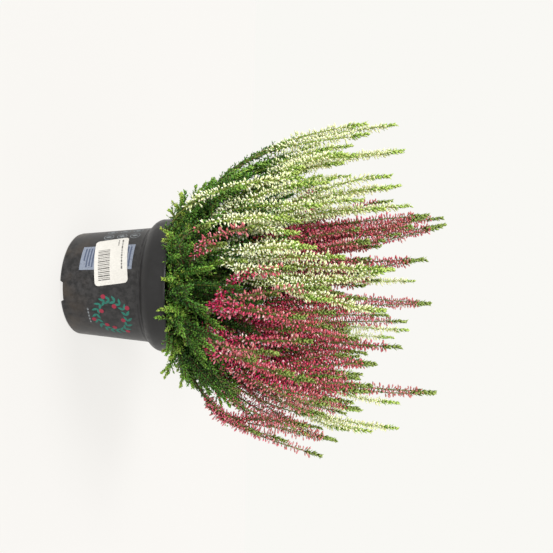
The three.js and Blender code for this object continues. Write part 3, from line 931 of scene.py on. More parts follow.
def add_branchlets(target, line, low, high, pitch, lengths, faded):
    """Short flowering branchlets between two lengths from a line's tip: longer further down."""
    stretch = part_of(line, low, high)
    count = int(length_of(stretch) / pitch)
    for i in range(count):
        share_down = 1 - (i + rng.uniform(0.1, 0.9)) / count
        k = min(len(stretch) - 2, int((1 - share_down) * (len(stretch) - 1)))
        heading = side_heading(stretch, k, i, branchlet_lean)
        length = (lengths[0] + (lengths[1] - lengths[0]) * share_down) * rng.uniform(0.75, 1.2)
        share = np.linspace(0, 1, 6)[:, None]
        bend = np.array([0, 0, branchlet_bend * length])
        points = stretch[k] + heading * length * share + bend * share ** 2
        target["branch_buds"].append(chain(points[1:], (1, 0.2), (0.95, 0.65), faded))
        target["spike_leaves"].append(chain(points, (1, 0), (0.8, 0.7), (0.3, 0.8)))


def add_twigs(target, line, low, high, pitch, lengths, fresh):
    """Short leafy twigs between two lengths from a line's tip, turned by the golden angle."""
    stretch = part_of(line, low, high)
    total = length_of(stretch)
    for i in range(int(total / pitch)):
        k = min(len(stretch) - 2, int((i + rng.uniform(0, 0.8)) * pitch / total * (len(stretch) - 1)))
        heading = side_heading(stretch, k, i, twig_lean)
        length = rng.uniform(*lengths) * (0.65 + 0.35 * (1 - k / len(stretch)))
        share = np.linspace(0, 1, 5)[:, None]
        bend = np.array([0, 0, twig_bend * length])
        points = keep_clear(stretch[k] + heading * length * share + bend * share ** 2)
        target["twigs"].append(chain(points, (1, 0), (1.0, 0.75), (fresh * 0.3, min(1.0, fresh + 0.3))))
        target["twig_stems"].append(chain(points[::4], (1, 0), 1, fresh, (0.4 * MM, 0.25 * MM)))


# how far out the soil and the pot's wall reach, and the heights just over them
soil_reach, over_soil, wall_reach, over_wall = 57.5 * MM, 81.5 * MM, 62 * MM, 88.5 * MM


def keep_clear(points):
    """Moves points up where they would pass through the soil or the pot's wall."""
    level = np.linalg.norm(points[:, :2], axis=1)
    floor = np.where(level < soil_reach, over_soil, np.where(level < wall_reach, over_wall, 0))
    points[:, 2] = np.maximum(points[:, 2], floor)
    return points


print("kinds of chain:", len(kinds_of_chain), "for each of", len(parts), "cuttings")

# %% Zones of the flowering shoots
# a slim spike that stands clear of the crown, and its leafy tip as a share of the usual length
slender, slender_tip_share = {"pink_right_shoot_12"}, 0.3
far_out_radius, tall_top, tall_from_x = 108 * MM, 290 * MM, -20 * MM
long_tip_share, long_tip_stretch, long_tip_top = {"white": 0.08, "crimson": 0.09}, 1.9, 262 * MM
# heights from which low white spikes bloom: the ones at the far left, then the others
low_bloom_starts, far_left = (104 * MM, 120 * MM), -80 * MM
short_twigs, long_twigs = (3.5 * MM, 6 * MM), (8 * MM, 14 * MM)
# the shares of a spike of buds, from its top, that are young and that have no branchlets, and how long
# the spike has to be to have any
young_share, unbranched_share, branched_from = 0.62, 0.45, 45 * MM
for shoot in mains + sides:
    line, target, rule = shoot["line"], parts[shoot["cutting"]], spikes[shoot["variety"]]
    total, top = length_of(line), line[-1][2]
    slim = shoot in mains and shoot["node"] in slender
    leafy = rng.uniform(*rule["tip"]) * (slender_tip_share if slim else shoot.get("tip_share", 1.0)) * MM
    far_out = np.linalg.norm(line[-1][:2]) > far_out_radius
    aged = far_out or top > tall_top and line[-1][0] > tall_from_x
    fading = (0.4, 0.9) if aged else (0.2, 0.4) if "rear" in shoot["cutting"] else (0.0, 0.2)
    faded = rng.uniform(*fading)

    long_by_chance = rng.uniform() < long_tip_share[shoot["variety"]]
    may_be_long = top < long_tip_top and not far_out and not shoot.get("low_bloom")
    if shoot.get("leafy") or long_by_chance and may_be_long:
        leafy *= long_tip_stretch
        add_twigs(target, line, 7 * MM, leafy, 1.5 * MM, short_twigs, 0.25 if shoot.get("leafy") else 0.6)

    lowest = rule["outer_floor" if far_out else "bud_floor"]
    bud_start = max(lowest, rule["bud_share"] * top / MM + rng.uniform(-8, 34)) * MM
    if shoot.get("low_bloom"):
        bud_start = low_bloom_starts[0 if line[-1][0] < far_left else 1]
    bud_high = min(total - 6 * MM, length_above(line, bud_start))
    if shoot.get("leafy"):
        bud_high = leafy
    else:
        zone = bud_high - leafy
        full = min(0.95 if far_out else 1.0, 0.5 + zone / (120 * MM))
        change = leafy + young_share * zone
        young_size = rule["young_size"]
        middle_size = young_size + 0.75 * (full - young_size)
        old_part, young_part = part_of(line, change, bud_high), part_of(line, leafy * 0.85, change)
        target["old_buds"].append(chain(old_part, (1, 0.55), (full, middle_size), faded))
        target["young_buds"].append(chain(young_part, (0.55, 0), (middle_size, young_size), faded))
        if zone > branched_from or slim:
            branch_lengths = (4 * MM, 6 * MM if far_out or slim else 15 * MM)
            branch_pitch = rule["branch_pitch"] * MM
            branched_low = leafy + unbranched_share * zone
            add_branchlets(target, line, branched_low, bud_high, branch_pitch, branch_lengths, faded)

    tip_green = (0.05, 0.3) if shoot.get("leafy") else rule["tip_green"]
    leaf_size, leaf_green = (1.0, rule["leaf_size"]), (0.1, rule["leaf_green"])
    target["tip_leaves"].append(chain(part_of(line, 0, leafy * 1.15), (1, 0), (1.35, 1.2), tip_green))
    target["spike_leaves"].append(chain(part_of(line, leafy, total), (1, 0), leaf_size, leaf_green))
    if total - bud_high > 12 * MM:
        pitch, twig_lengths = (2.0 * MM, short_twigs) if far_out else (3.2 * MM, long_twigs)
        # the twigs low on a shoot get a green of 0.08: older leaves, and painted shade inside the crown
        add_twigs(target, line, bud_high - 10 * MM, total, pitch, twig_lengths, 0.08)
    target["stems"].append(chain(part_of(line, 0, total), (1, 0), 1, (0.0, 1.0), (0.95 * MM, 0.4 * MM)))
print("flowering shoots:", len(mains + sides))

# %% Zones of the leafy shoots
for shoot in skirt + sprigs:
    line, target = shoot["line"], parts[shoot["cutting"]]
    total, fresh = length_of(line), shoot.get("fresh", 0.8)
    dense = max(14 * MM, 0.6 * total)
    tip_green = (fresh * 0.1, min(1.0, 0.12 + 1.6 * fresh))
    target["frond_leaves"].append(chain(part_of(line, 0, dense), (1, 0), (1.5, 1.05), tip_green))
    target["spike_leaves"].append(chain(part_of(line, dense, total), (1, 0), 1.2, fresh * 0.5))
    add_twigs(target, line, 5 * MM, total * 0.85, 3.4 * MM, (7 * MM, 12 * MM), fresh * 0.8)
    target["stems"].append(chain(line, (1, 0), 1, 0.3, (0.8 * MM, 0.4 * MM)))
print({kind: sum(len(parts[c][kind]) for c in parts) for kind in kinds_of_chain})

# %% [markdown]
# ## Buds and leaves as small shapes
#
# A shape that is repeated thousands of times has to be cheap. A bud is a stalk that swells into a closed,
# oval flower with four sepals: the fuller ones have sixteen triangles, and those seen between others have
# eight. A scale leaf is a keeled wedge of four. All point along +Z from the stem, and carry an `along`
# value, so that a colour can run from base to tip.

# %% Make the bud and leaf shapes
def small_shape(name, vertices, faces, along, home):
    """A shape for a tree to repeat, from corners in mm and each corner's place from base to tip."""
    mesh = bpy.data.meshes.new(name)
    mesh.from_pydata([tuple(np.array(v) * MM) for v in vertices], [], faces)
    mesh.shade_smooth()
    mesh.attributes.new("along", "FLOAT", "POINT").data.foreach_set("value", along)
    home.objects.link(bpy.data.objects.new(name, mesh))


def bud_shape(name, stalk, length, width, nod, home):
    """A bud with four sides, in millimetres. It nods towards -Y, which is the side away from the tip."""
    rings = [(stalk + 0.3 * length, width / 2, 0.5), (stalk + 0.7 * length, width * 0.42, 0.8)]
    vertices, along = [(0, 0, 0)], [0.0]
    for z, radius, share in rings:
        bow = -nod * (z / (stalk + length)) ** 2
        for k in range(4):
            turn = math.pi / 2 * k
            vertices.append((radius * math.cos(turn), radius * math.sin(turn) + bow, z))
            along.append(share)
    vertices.append((0, -nod, stalk + length))
    along.append(1.0)
    corners = [(k, (k + 1) % 4) for k in range(4)]
    faces = [[0, 1 + after, 1 + k] for k, after in corners]
    faces += [[1 + k, 1 + after, 5 + after, 5 + k] for k, after in corners]
    faces += [[5 + k, 5 + after, 9] for k, after in corners]
    small_shape(name, vertices, faces, along, home)


def leaf_shape(name, length, width, thick, home):
    """A scale leaf with a keel on its outer side, which is -Y."""
    half, back, middle = width / 2, thick / 2, length * 0.5
    vertices = [(0, -back, 0), (-half, back, middle), (half, back, middle), (0, 0, length)]
    faces = [[0, 3, 1], [0, 2, 3], [0, 1, 2], [1, 3, 2]]
    small_shape(name, vertices, faces, [0, 0.4, 0.4, 1.0], home)


def small_bud(name, stalk, length, width, nod, home):
    """A bud that is seen between others: one ring of four corners and eight triangles."""
    middle = stalk + 0.5 * length
    turns = [math.pi / 2 * k for k in range(4)]
    ring = [(width / 2 * math.cos(turn), width / 2 * math.sin(turn) - nod / 3, middle) for turn in turns]
    corners = [(k, (k + 1) % 4) for k in range(4)]
    faces = [[0, 1 + after, 1 + k] for k, after in corners] + [[1 + k, 1 + after, 5] for k, after in corners]
    vertices = [(0, 0, 0), *ring, (0, -nod, stalk + length)]
    small_shape(name, vertices, faces, [0.0, 0.6, 0.6, 0.6, 0.6, 1.0], home)


box_names = ("white_old", "white_young", "white_branch", "crimson_old", "crimson_young", "crimson_branch",
             "tip_leaves", "twig_leaves")
boxes = {kind: bpy.data.collections.new(kind) for kind in box_names}
# lengths and widths of buds, and the lengths of their stalks, in mm
bud_sizes = {"white": (2.85, 1.42), "crimson": (2.7, 1.4)}
spike_stalks, branch_stalks = (0.9, 1.6, 2.4, 3.4), (0.6, 1.4)
for variety, (length, width) in bud_sizes.items():
    for number, stalk in enumerate(spike_stalks):
        make_old = bud_shape if number in (0, 2) else small_bud
        make_old(f"{variety}_old_{number}", stalk, length, width, 0.7, boxes[f"{variety}_old"])
        young_home = boxes[f"{variety}_young"]
        small_bud(f"{variety}_young_{number}", stalk * 0.9, length, width * 1.1, 0.6, young_home)
    for number, stalk in enumerate(branch_stalks):
        small_bud(f"{variety}_branch_{number}", stalk, length, width * 1.12, 0.5, boxes[f"{variety}_branch"])
leaf_shape("tip_leaf_short", 2.9, 2.5, 0.5, boxes["tip_leaves"])
leaf_shape("tip_leaf_long", 3.6, 2.2, 0.5, boxes["tip_leaves"])
leaf_shape("twig_leaf_short", 3.0, 2.0, 0.6, boxes["twig_leaves"])
leaf_shape("twig_leaf_long", 3.8, 1.8, 0.6, boxes["twig_leaves"])

# %% [markdown]
# ## A tree that sets shapes round a stem
#
# Buds and leaves stand round a stem in the same way: one every so often, each turned by the golden angle
# from the last, leaning out more the older it is. One Geometry Nodes tree does this for all of them. Its
# named inputs hold the shapes, the spacing, the leans, the chance in lean and size and the share that a
# wholly faded spike has dropped, so one tree serves buds, tips and twigs. Each random number has a seed
# of its own, counted up from the given one. The tree stores a random `tone` on each shape for the
# colours, and ends in real geometry.

# %% The tree for buds and leaves
def new_tree(name, inputs):
    """A geometry tree with a geometry input and output and the given named inputs."""
    tree = bpy.data.node_groups.new(name, "GeometryNodeTree")
    tree.interface.new_socket("Geometry", in_out="INPUT", socket_type="NodeSocketGeometry")
    for socket_name, kind in inputs.items():
        tree.interface.new_socket(socket_name, in_out="INPUT", socket_type=kind)
    tree.interface.new_socket("Geometry", in_out="OUTPUT", socket_type="NodeSocketGeometry")
    return tree, tree.nodes.new("NodeGroupInput").outputs


def end_tree(tree, geometry, material):
    """Realize Instances, Set Material, output."""
    real = add(tree, "GeometryNodeRealizeInstances", {0: geometry})
    finished = add(tree, "GeometryNodeSetMaterial", {0: real.outputs[0], "Material": material})
    add(tree, "NodeGroupOutput", {0: finished.outputs[0]})


round_stem, given = new_tree("shapes_round_a_stem", {
    "Shapes": "NodeSocketCollection", "Spacing": "NodeSocketFloat", "Young Lean": "NodeSocketFloat",
    "Old Lean": "NodeSocketFloat", "Lean Chance": "NodeSocketFloat", "Size Chance": "NodeSocketFloat",
    "Dropped": "NodeSocketFloat", "Seed": "NodeSocketInt", "Material": "NodeSocketMaterial",
})
curve = add(round_stem, "GeometryNodeMeshToCurve", {0: given["Geometry"]})
spots = add(round_stem, "GeometryNodeCurveToPoints", {
    0: curve.outputs[0], "Length": given["Spacing"]}, mode="LENGTH")
number = add(round_stem, "GeometryNodeInputIndex").outputs[0]
golden = add(round_stem, "ShaderNodeMath", {0: number, 1: golden_angle}, operation="MULTIPLY")

lean_chance, size_chance = given["Lean Chance"], given["Size Chance"]
minus_lean = add(round_stem, "ShaderNodeMath", {0: lean_chance, 1: -1.0}, operation="MULTIPLY").outputs[0]
smallest = add(round_stem, "ShaderNodeMath", {0: 1.0, 1: size_chance}, operation="SUBTRACT").outputs[0]
largest = add(round_stem, "ShaderNodeMath", {0: 1.0, 1: size_chance}, operation="ADD").outputs[0]
rolls = []
limits = ((-0.5, 0.5), (minus_lean, lean_chance), (smallest, largest), (0.0, 1.0), (0.0, 1.0))
for order, (low, high) in enumerate(limits):
    own_seed = add(round_stem, "FunctionNodeIntegerMath", {0: given["Seed"], 1: order + 1}, operation="ADD")
    roll = add(round_stem, "FunctionNodeRandomValue", {
        2: low, 3: high, "Seed": own_seed.outputs[0]}, data_type="FLOAT")
    rolls.append(roll.outputs[1])
spin_roll, lean_roll, size_roll, tone_roll, drop_roll = rolls
# a number past the last shape of a collection counts on from its first
which = add(round_stem, "FunctionNodeRandomValue", {4: 0, 5: 7, "Seed": given["Seed"]}, data_type="INT")

spin = add(round_stem, "ShaderNodeMath", {0: golden.outputs[0], 1: spin_roll}, operation="ADD")
age = add(round_stem, "GeometryNodeInputNamedAttribute", {0: "age"}, data_type="FLOAT").outputs[0]
usual_lean = add(round_stem, "ShaderNodeMix", {0: age, 2: given["Young Lean"], 3: given["Old Lean"]})
lean = add(round_stem, "ShaderNodeMath", {0: usual_lean.outputs[0], 1: lean_roll}, operation="ADD")
turn_z = add(round_stem, "FunctionNodeAxisAngleToRotation", {"Axis": (0, 0, 1), "Angle": spin.outputs[0]})
turn_x = add(round_stem, "FunctionNodeAxisAngleToRotation", {"Axis": (1, 0, 0), "Angle": lean.outputs[0]})
faced = add(round_stem, "FunctionNodeRotateRotation", {
    0: spots.outputs["Rotation"], 1: turn_z.outputs[0]}, rotation_space="LOCAL")
leaned = add(round_stem, "FunctionNodeRotateRotation", {
    0: faced.outputs[0], 1: turn_x.outputs[0]}, rotation_space="LOCAL")
size = add(round_stem, "GeometryNodeInputNamedAttribute", {0: "size"}, data_type="FLOAT").outputs[0]
sized = add(round_stem, "ShaderNodeMath", {0: size, 1: size_roll}, operation="MULTIPLY")
faded = add(round_stem, "GeometryNodeInputNamedAttribute", {0: "fresh"}, data_type="FLOAT").outputs[0]
dropped = add(round_stem, "ShaderNodeMapRange", {
    "Value": faded, "From Min": 0.35, "To Max": given["Dropped"]}).outputs[0]
kept = add(round_stem, "FunctionNodeCompare", {
    0: drop_roll, 1: dropped}, data_type="FLOAT", operation="GREATER_THAN")
shapes = add(round_stem, "GeometryNodeCollectionInfo", {0: given["Shapes"], 1: True, 2: True})
placed = add(round_stem, "GeometryNodeInstanceOnPoints", {
    "Points": spots.outputs["Points"], "Selection": kept.outputs[0], "Instance": shapes.outputs[0],
    "Pick Instance": True, "Instance Index": which.outputs[2], "Rotation": leaned.outputs[0],
    "Scale": sized.outputs[0]})
toned = add(round_stem, "GeometryNodeStoreNamedAttribute", {
    0: placed.outputs[0], "Name": "tone", "Value": tone_roll}, data_type="FLOAT", domain="INSTANCE")
end_tree(round_stem, toned.outputs[0], given["Material"])
print("tree:", round_stem.name, "nodes:", len(round_stem.nodes))

# %% [markdown]
# Stems are tubes whose thickness is read from the guide. A second, short tree turns each chain into a
# curve, gives it its radius and sweeps a circle along it.

# %% The tree for stems, and a function that runs a tree
stem_tubes, given = new_tree("stem_tubes", {
    "Sides": "NodeSocketInt", "Step": "NodeSocketFloat", "Material": "NodeSocketMaterial"})
curve = add(stem_tubes, "GeometryNodeMeshToCurve", {0: given["Geometry"]})
curve = add(stem_tubes, "GeometryNodeResampleCurve", {
    "Curve": curve.outputs[0], "Length": given["Step"]}, mode="LENGTH")
thickness = add(stem_tubes, "GeometryNodeInputNamedAttribute", {0: "radius"}, data_type="FLOAT").outputs[0]
circle = add(stem_tubes, "GeometryNodeCurvePrimitiveCircle", {"Resolution": given["Sides"], "Radius": 1.0})
sweep = add(stem_tubes, "GeometryNodeCurveToMesh", {
    0: curve.outputs[0], 1: circle.outputs[0], "Scale": thickness, "Fill Caps": True})
rounded = add(stem_tubes, "GeometryNodeSetShadeSmooth", {0: sweep.outputs[0], "Shade Smooth": True})
end_tree(stem_tubes, rounded.outputs[0], given["Material"])


def grown(name, tree, start, values):
    """Runs a tree on a start object and keeps the result as a plain mesh."""
    modifier = start.modifiers.new(tree.name, "NODES")
    modifier.node_group = tree
    for item in tree.interface.items_tree:
        if item.in_out == "INPUT" and item.name in values:
            modifier[item.identifier] = values[item.name]
    mesh = bpy.data.meshes.new_from_object(start.evaluated_get(bpy.context.evaluated_depsgraph_get()))
    start.modifiers.remove(modifier)
    bpy.data.objects.remove(start)
    mesh.name = name
    made = bpy.data.objects.new(name, mesh)
    bpy.context.scene.collection.objects.link(made)
    return made


def joined(name, objects):
    """Several plain meshes as one object."""
    first = objects[0]
    with bpy.context.temp_override(active_object=first, selected_editable_objects=objects):
        bpy.ops.object.join()
    first.name = first.data.name = name
    return first


def triangles(made):
    """How many triangles a mesh object's faces make."""
    return sum(len(face.vertices) - 2 for face in made.data.polygons)


print("tree:", stem_tubes.name, "nodes:", len(stem_tubes.nodes))

# %% [markdown]
# ## Sepals, leaves and stems
#
# Heather sepals are papery and hold light: they look bright where they face it and warm where it passes
# through. A little subsurface scattering does that. The white form opens cream with green bases. The
# crimson form has brown-red bases, and tips from deep magenta through strong pink. The top of its ramp,
# pale pink to nearly white, is a painted highlight on a few buds, as if they caught the light. No two buds
# have quite the same colour, so each one's `tone` picks its place on a ramp, and fading draws a spike
# towards a duller colour.

# %% Papery sepals
def sepals(name, base_ramp, tip_ramp, young_colour, faded_colour):
    """A bud's colour: ramps of tones for its base and its tip, a colour while young and a faded one."""
    material, tree, shader = new_material(name, roughness=0.5, ior=1.4, subsurface_weight=0.15)
    shader.inputs["Subsurface Radius"].default_value = (1.0, 0.6, 0.4)
    shader.inputs["Subsurface Scale"].default_value = 0.6 * MM
    tone, along, age, faded = (
        add(tree, "ShaderNodeAttribute", attribute_name=key).outputs["Fac"]
        for key in ("tone", "along", "age", "fresh"))
    base = fill_ramp(add(tree, "ShaderNodeValToRGB", {0: tone}), base_ramp)
    tip = fill_ramp(add(tree, "ShaderNodeValToRGB", {0: tone}), tip_ramp)
    share = add(tree, "ShaderNodeMapRange", {"Value": along, "From Min": 0.32, "From Max": 0.7})
    mixed = add(tree, "ShaderNodeMix", {0: share.outputs[0], 6: base, 7: tip}, data_type="RGBA")
    youth = add(tree, "ShaderNodeMapRange", {"Value": age, "From Min": 0.5, "From Max": 0.0, "To Max": 0.5})
    aged = add(tree, "ShaderNodeMix", {
        0: youth.outputs[0], 6: mixed.outputs[2], 7: linear(young_colour)}, data_type="RGBA")
    fading = add(tree, "ShaderNodeMapRange", {"Value": faded, "To Max": 0.5})
    varied = add(tree, "ShaderNodeMix", {
        0: fading.outputs[0], 6: aged.outputs[2], 7: linear(faded_colour)}, data_type="RGBA")
    tree.links.new(varied.outputs[2], shader.inputs["Base Color"])
    return material


bud_finish = {
    "white": sepals(
        "papery_sepals_cream", young_colour="#e6ebac", faded_colour="#f0f3c2",
        base_ramp=[(0.0, "#9eb44e"), (0.6, "#c2ce72"), (1.0, "#e2e6a4")],
        tip_ramp=[(0.0, "#ecf1bc"), (0.5, "#fafbde"), (1.0, "#fffff0")]),
    "crimson": sepals(
        "papery_sepals_crimson", young_colour="#c07a6c", faded_colour="#ca9c8a",
        base_ramp=[(0.0, "#663028"), (0.5, "#8a3a36"), (1.0, "#c07a6e")],
        # the pale pink and nearly white end of this ramp is a painted highlight on the buds whose tone falls
        # there
        tip_ramp=[(0.0, "#b00446"), (0.42, "#e01060"), (0.7, "#f04288"), (0.85, "#f6a4bc"),
                  (1.0, "#fff4f0")]),
}
print("sepals:", [finish.name for finish in bud_finish.values()])

# %% [markdown]
# Scale leaves have a thin wax layer, so they are a little glossy. Old leaves are dark, the fresh ones at
# the tips are yellow-green, and `fresh` picks the place on a ramp of four greens. The darkest green is old
# leaves and also painted shade: leaves deep inside the plant get low values, so they are painted dark
# where shade falls. The leafy tips of the spikes get a paler finish of their own. Stems go from green at
# the top to brown wood at the foot.

# %% Waxy leaves and green stems
def waxy_leaf(name, dark, old, young_green, fresh):
    """A leaf's colour: four greens from the oldest leaves to the freshest; the darkest is also painted
    shade.
    """
    material, tree, shader = new_material(name, roughness=0.45, ior=1.42, subsurface_weight=0.08)
    shader.inputs["Subsurface Radius"].default_value = (0.5, 1.0, 0.2)
    shader.inputs["Subsurface Scale"].default_value = 0.5 * MM
    tone = add(tree, "ShaderNodeAttribute", attribute_name="tone").outputs["Fac"]
    young = add(tree, "ShaderNodeAttribute", attribute_name="fresh").outputs["Fac"]
    shifted = add(tree, "ShaderNodeMapRange", {"Value": tone, "To Min": -0.12, "To Max": 0.16})
    share = add(tree, "ShaderNodeMath", {0: young, 1: shifted.outputs[0]}, operation="ADD", use_clamp=True)
    # the first stop is the colour of old leaves and also painted shade for leaves deep in the plant
    green = fill_ramp(add(tree, "ShaderNodeValToRGB", {0: share.outputs[0]}),
                      [(0.0, dark), (0.3, old), (0.62, young_green), (1.0, fresh)])
    tree.links.new(green, shader.inputs["Base Color"])
    return material


def green_stem(name, foot, middle, top):
    """A stem's colour from its foot to its top, with ridges drawn at 0.7 mm, as finer ones don't show."""
    material, tree, shader = new_material(name, roughness=0.6, ior=1.45)
    young = add(tree, "ShaderNodeAttribute", attribute_name="fresh").outputs["Fac"]
    place = add(tree, "ShaderNodeTexCoord").outputs["Object"]
    patches = add(tree, "ShaderNodeTexNoise", {"Vector": place, "Scale": 1 / (4 * MM), "Detail": 3.0})
    shifted = add(tree, "ShaderNodeMapRange", {"Value": patches.outputs[0], "To Min": -0.2, "To Max": 0.2})
    share = add(tree, "ShaderNodeMath", {0: young, 1: shifted.outputs[0]}, operation="ADD", use_clamp=True)
    colour = fill_ramp(add(tree, "ShaderNodeValToRGB", {0: share.outputs[0]}),
                       [(0.0, foot), (0.5, middle), (1.0, top)])
    tree.links.new(colour, shader.inputs["Base Color"])
    ridges = add(tree, "ShaderNodeTexNoise", {"Vector": place, "Scale": 1 / (0.7 * MM), "Detail": 2.0})
    bump = add(tree, "ShaderNodeBump", {"Strength": 0.4, "Distance": 0.15 * MM, "Height": ridges.outputs[0]})
    tree.links.new(bump.outputs[0], shader.inputs["Normal"])
    return material


leaf_finish = {
    # each first green is darker than old leaves alone, as painted shade between the shoots
    "white": waxy_leaf("waxy_leaf_yellow_green", "#1b4014", "#4f842a", "#84b03e", "#b4cc56"),
    "crimson": waxy_leaf("waxy_leaf_dark_green", "#193a12", "#4a7a28", "#7cac3e", "#a8c452"),
}
tip_finish = {
    "white": waxy_leaf("waxy_tip_lime", "#356622", "#749c3a", "#9cba54", "#c4d474"),
    "crimson": waxy_leaf("waxy_tip_olive", "#2a4818", "#647831", "#869a48", "#b0bc62"),
}
stem_finish = {
    "white": green_stem("heather_stem_pale", "#4a3a22", "#84903e", "#a6b850"),
    "crimson": green_stem("heather_stem_dark", "#3a2a1c", "#62502e", "#7c7c40"),
}
print("leaf and stem finishes:", len(leaf_finish) + len(tip_finish) + len(stem_finish))

# %% [markdown]
# ## Grow the four cuttings
#
# Each cutting becomes three pieces: its buds, its leaves and its stems. Buds come from three guides, for
# the old and the young part of each spike and for the branchlets. Leaves come from four with their own
# spacing: dense at the tips of spikes and fronds, wider on the twigs and widest between the buds.

# %% Run the trees
branch_bud_spacing = 0.95
leaf_rows = [
    # a guide, the shapes set on it, their spacing in mm, and their leans when young and old in degrees
    ("tip_leaves", "tip_leaves", 0.62, 32, 50),
    ("frond_leaves", "tip_leaves", 0.76, 32, 50),
    ("spike_leaves", "tip_leaves", 1.9, 28, 42),
    ("twigs", "twig_leaves", 1.52, 28, 50),
]
bud_chances = {"Lean Chance": math.radians(16), "Size Chance": 0.18}
leaf_chances = {"Lean Chance": math.radians(9), "Size Chance": 0.2}
bud_seed, leaf_seed = 10, 30
totals = {}
for order, (cutting, kinds) in enumerate(parts.items()):
    variety = varieties[cutting]
    rule = spikes[variety]
    bud_rows = [
        ("old_buds", f"{variety}_old", rule["spacing"], *rule["lean"]),
        ("young_buds", f"{variety}_young", rule["young_spacing"], *rule["lean"]),
        ("branch_buds", f"{variety}_branch", branch_bud_spacing, *rule["lean"]),
    ]
    bud_sets, leaf_sets = [], []
    for kind, box, spacing, young, old in bud_rows:
        bud_sets.append(grown(kind, round_stem, guide("bud_guide", kinds[kind]), {
            "Shapes": boxes[box], "Spacing": spacing * MM, "Young Lean": math.radians(young),
            "Old Lean": math.radians(old), **bud_chances, "Dropped": rule["dropped"],
            "Seed": bud_seed + order, "Material": bud_finish[variety]}))
    buds = joined(f"{cutting}_flower_buds", bud_sets)
    for kind, box, spacing, young, old in leaf_rows:
        leaf_look = tip_finish[variety] if kind == "tip_leaves" else leaf_finish[variety]
        leaf_sets.append(grown(kind, round_stem, guide("leaf_guide", kinds[kind]), {
            "Shapes": boxes[box], "Spacing": spacing * MM, "Young Lean": math.radians(young),
            "Old Lean": math.radians(old), **leaf_chances, "Dropped": 0.0,
            "Seed": leaf_seed + order, "Material": leaf_look}))
    leaves = joined(f"{cutting}_scale_leaves", leaf_sets)
    stalks = grown("stalks", stem_tubes, guide("stem_guide", kinds["stems"]), {
        "Sides": 5, "Step": 10 * MM, "Material": stem_finish[variety]})
    twigs = grown("twig_stalks", stem_tubes, guide("twig_guide", kinds["twig_stems"]), {
        "Sides": 3, "Step": 30 * MM, "Material": stem_finish[variety]})
    stems = joined(f"{cutting}_stems", [stalks, twigs])
    shoots_here = [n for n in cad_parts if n.startswith(f"{cutting}_shoot")]
    sprigs_here = [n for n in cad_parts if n.startswith(f"{cutting}_sprig")]
    for piece, slot in ((buds, f"{variety}_flowers"), (leaves, "heather_leaf"), (stems, "heather_wood")):
        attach(piece, "root")
        totals[piece.name] = triangles(piece)
    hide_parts(*shoots_here)
    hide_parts(*sprigs_here)
    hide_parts(*shoots_here, *sprigs_here)
print("triangles:", totals, "in all:", sum(totals.values()))

# %% [markdown]
# ## Bark
#
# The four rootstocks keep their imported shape, since they are only seen between leaves. Heather bark is
# grey-brown and splits along the branch into fine strips about half a millimetre wide. They are drawn
# nearly twice as wide, or they wouldn't show.

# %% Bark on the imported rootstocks
bark, tree, shader = new_material("heather_bark", roughness=0.85, ior=1.45)
place = add(tree, "ShaderNodeTexCoord").outputs["Object"]
squeezed = add(tree, "ShaderNodeMapping", {"Vector": place, "Scale": (1, 1, 0.25)})
strips = add(tree, "ShaderNodeTexNoise", {
    "Vector": squeezed.outputs[0], "Scale": 1 / (0.9 * MM), "Detail": 4.0, "Roughness": 0.6})
tint = fill_ramp(add(tree, "ShaderNodeValToRGB", {0: strips.outputs[0]}),
                 [(0.3, "#2c2018"), (0.55, "#5a4430"), (0.75, "#7b6650")])
tree.links.new(tint, shader.inputs["Base Color"])
bump = add(tree, "ShaderNodeBump", {"Strength": 0.7, "Distance": 0.3 * MM, "Height": strips.outputs[0]})
tree.links.new(bump.outputs[0], shader.inputs["Normal"])
for cutting in feet:
    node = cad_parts[f"{cutting}_rootstock"]
    node.data.materials.clear()
    node.data.materials.append(bark)
print("bark on", len(feet), "rootstocks")

# %% [markdown]
# ## Compost
#
# Potting compost is dark milled peat with fibres and small lumps. Only its top is seen, so the body is a
# turned solid whose top is a bumpy disc, and a tree scatters crumbs of one to five millimetres over it.

# %% Peat, and the body of the soil
peat, tree, shader = new_material("milled_peat", roughness=0.95, ior=1.4)
place = add(tree, "ShaderNodeTexCoord").outputs["Object"]
lumps = add(tree, "ShaderNodeTexNoise", {
    "Vector": place, "Scale": 1 / (2.2 * MM), "Detail": 6.0, "Roughness": 0.7})
tint = fill_ramp(add(tree, "ShaderNodeValToRGB", {0: lumps.outputs[0]}),
                 [(0.3, "#140e0a"), (0.55, "#2c2018"), (0.8, "#4c3a2a")])
tree.links.new(tint, shader.inputs["Base Color"])
bump = add(tree, "ShaderNodeBump", {"Strength": 0.8, "Distance": 0.8 * MM, "Height": lumps.outputs[0]})
tree.links.new(bump.outputs[0], shader.inputs["Normal"])

soil_gap, soil_turns = 0.3, 96
top_flat, top_low, top_rise, top_ring = 57.0, 78.0, 2.0, 3
soil_outline = [
    # the floor, the wall of the pot and the step under its shoulder
    (0, 4.4), (wall_radius(4.4) - wall - soil_gap - 1.5, 4.4), (wall_radius(8) - wall - soil_gap - 0.4, 8),
    (wall_radius(60) - wall - soil_gap, 60), (49.4, 63.2), (50.4, 66.2), (53.4, 68.3), (55.6, 70.4),
    (57.0, 73.0), (57.5, 77.6),
    # the top, in rings that rise a little towards the middle
    *[(top_flat - top_ring * i, top_low + min(top_rise, 0.28 * i)) for i in range(19)], (0, 80.0),
]
soil = outward(turned("compost", soil_outline, soil_turns))
bumpy_from, bumpy_radius, broad_height, small_height = 77.8, 56.5, 0.8, 0.5
for vertex in soil.data.vertices:
    x, y, z = (c / MM for c in vertex.co)
    if z > bumpy_from and math.hypot(x, y) < bumpy_radius:
        broad_swell = broad_height * math.sin(x * 0.31 + 1.3) * math.cos(y * 0.27)
        vertex.co.z += (broad_swell + small_height * math.sin(x * 0.83 + y * 0.71)) * MM
print("soil faces:", len(soil.data.polygons))

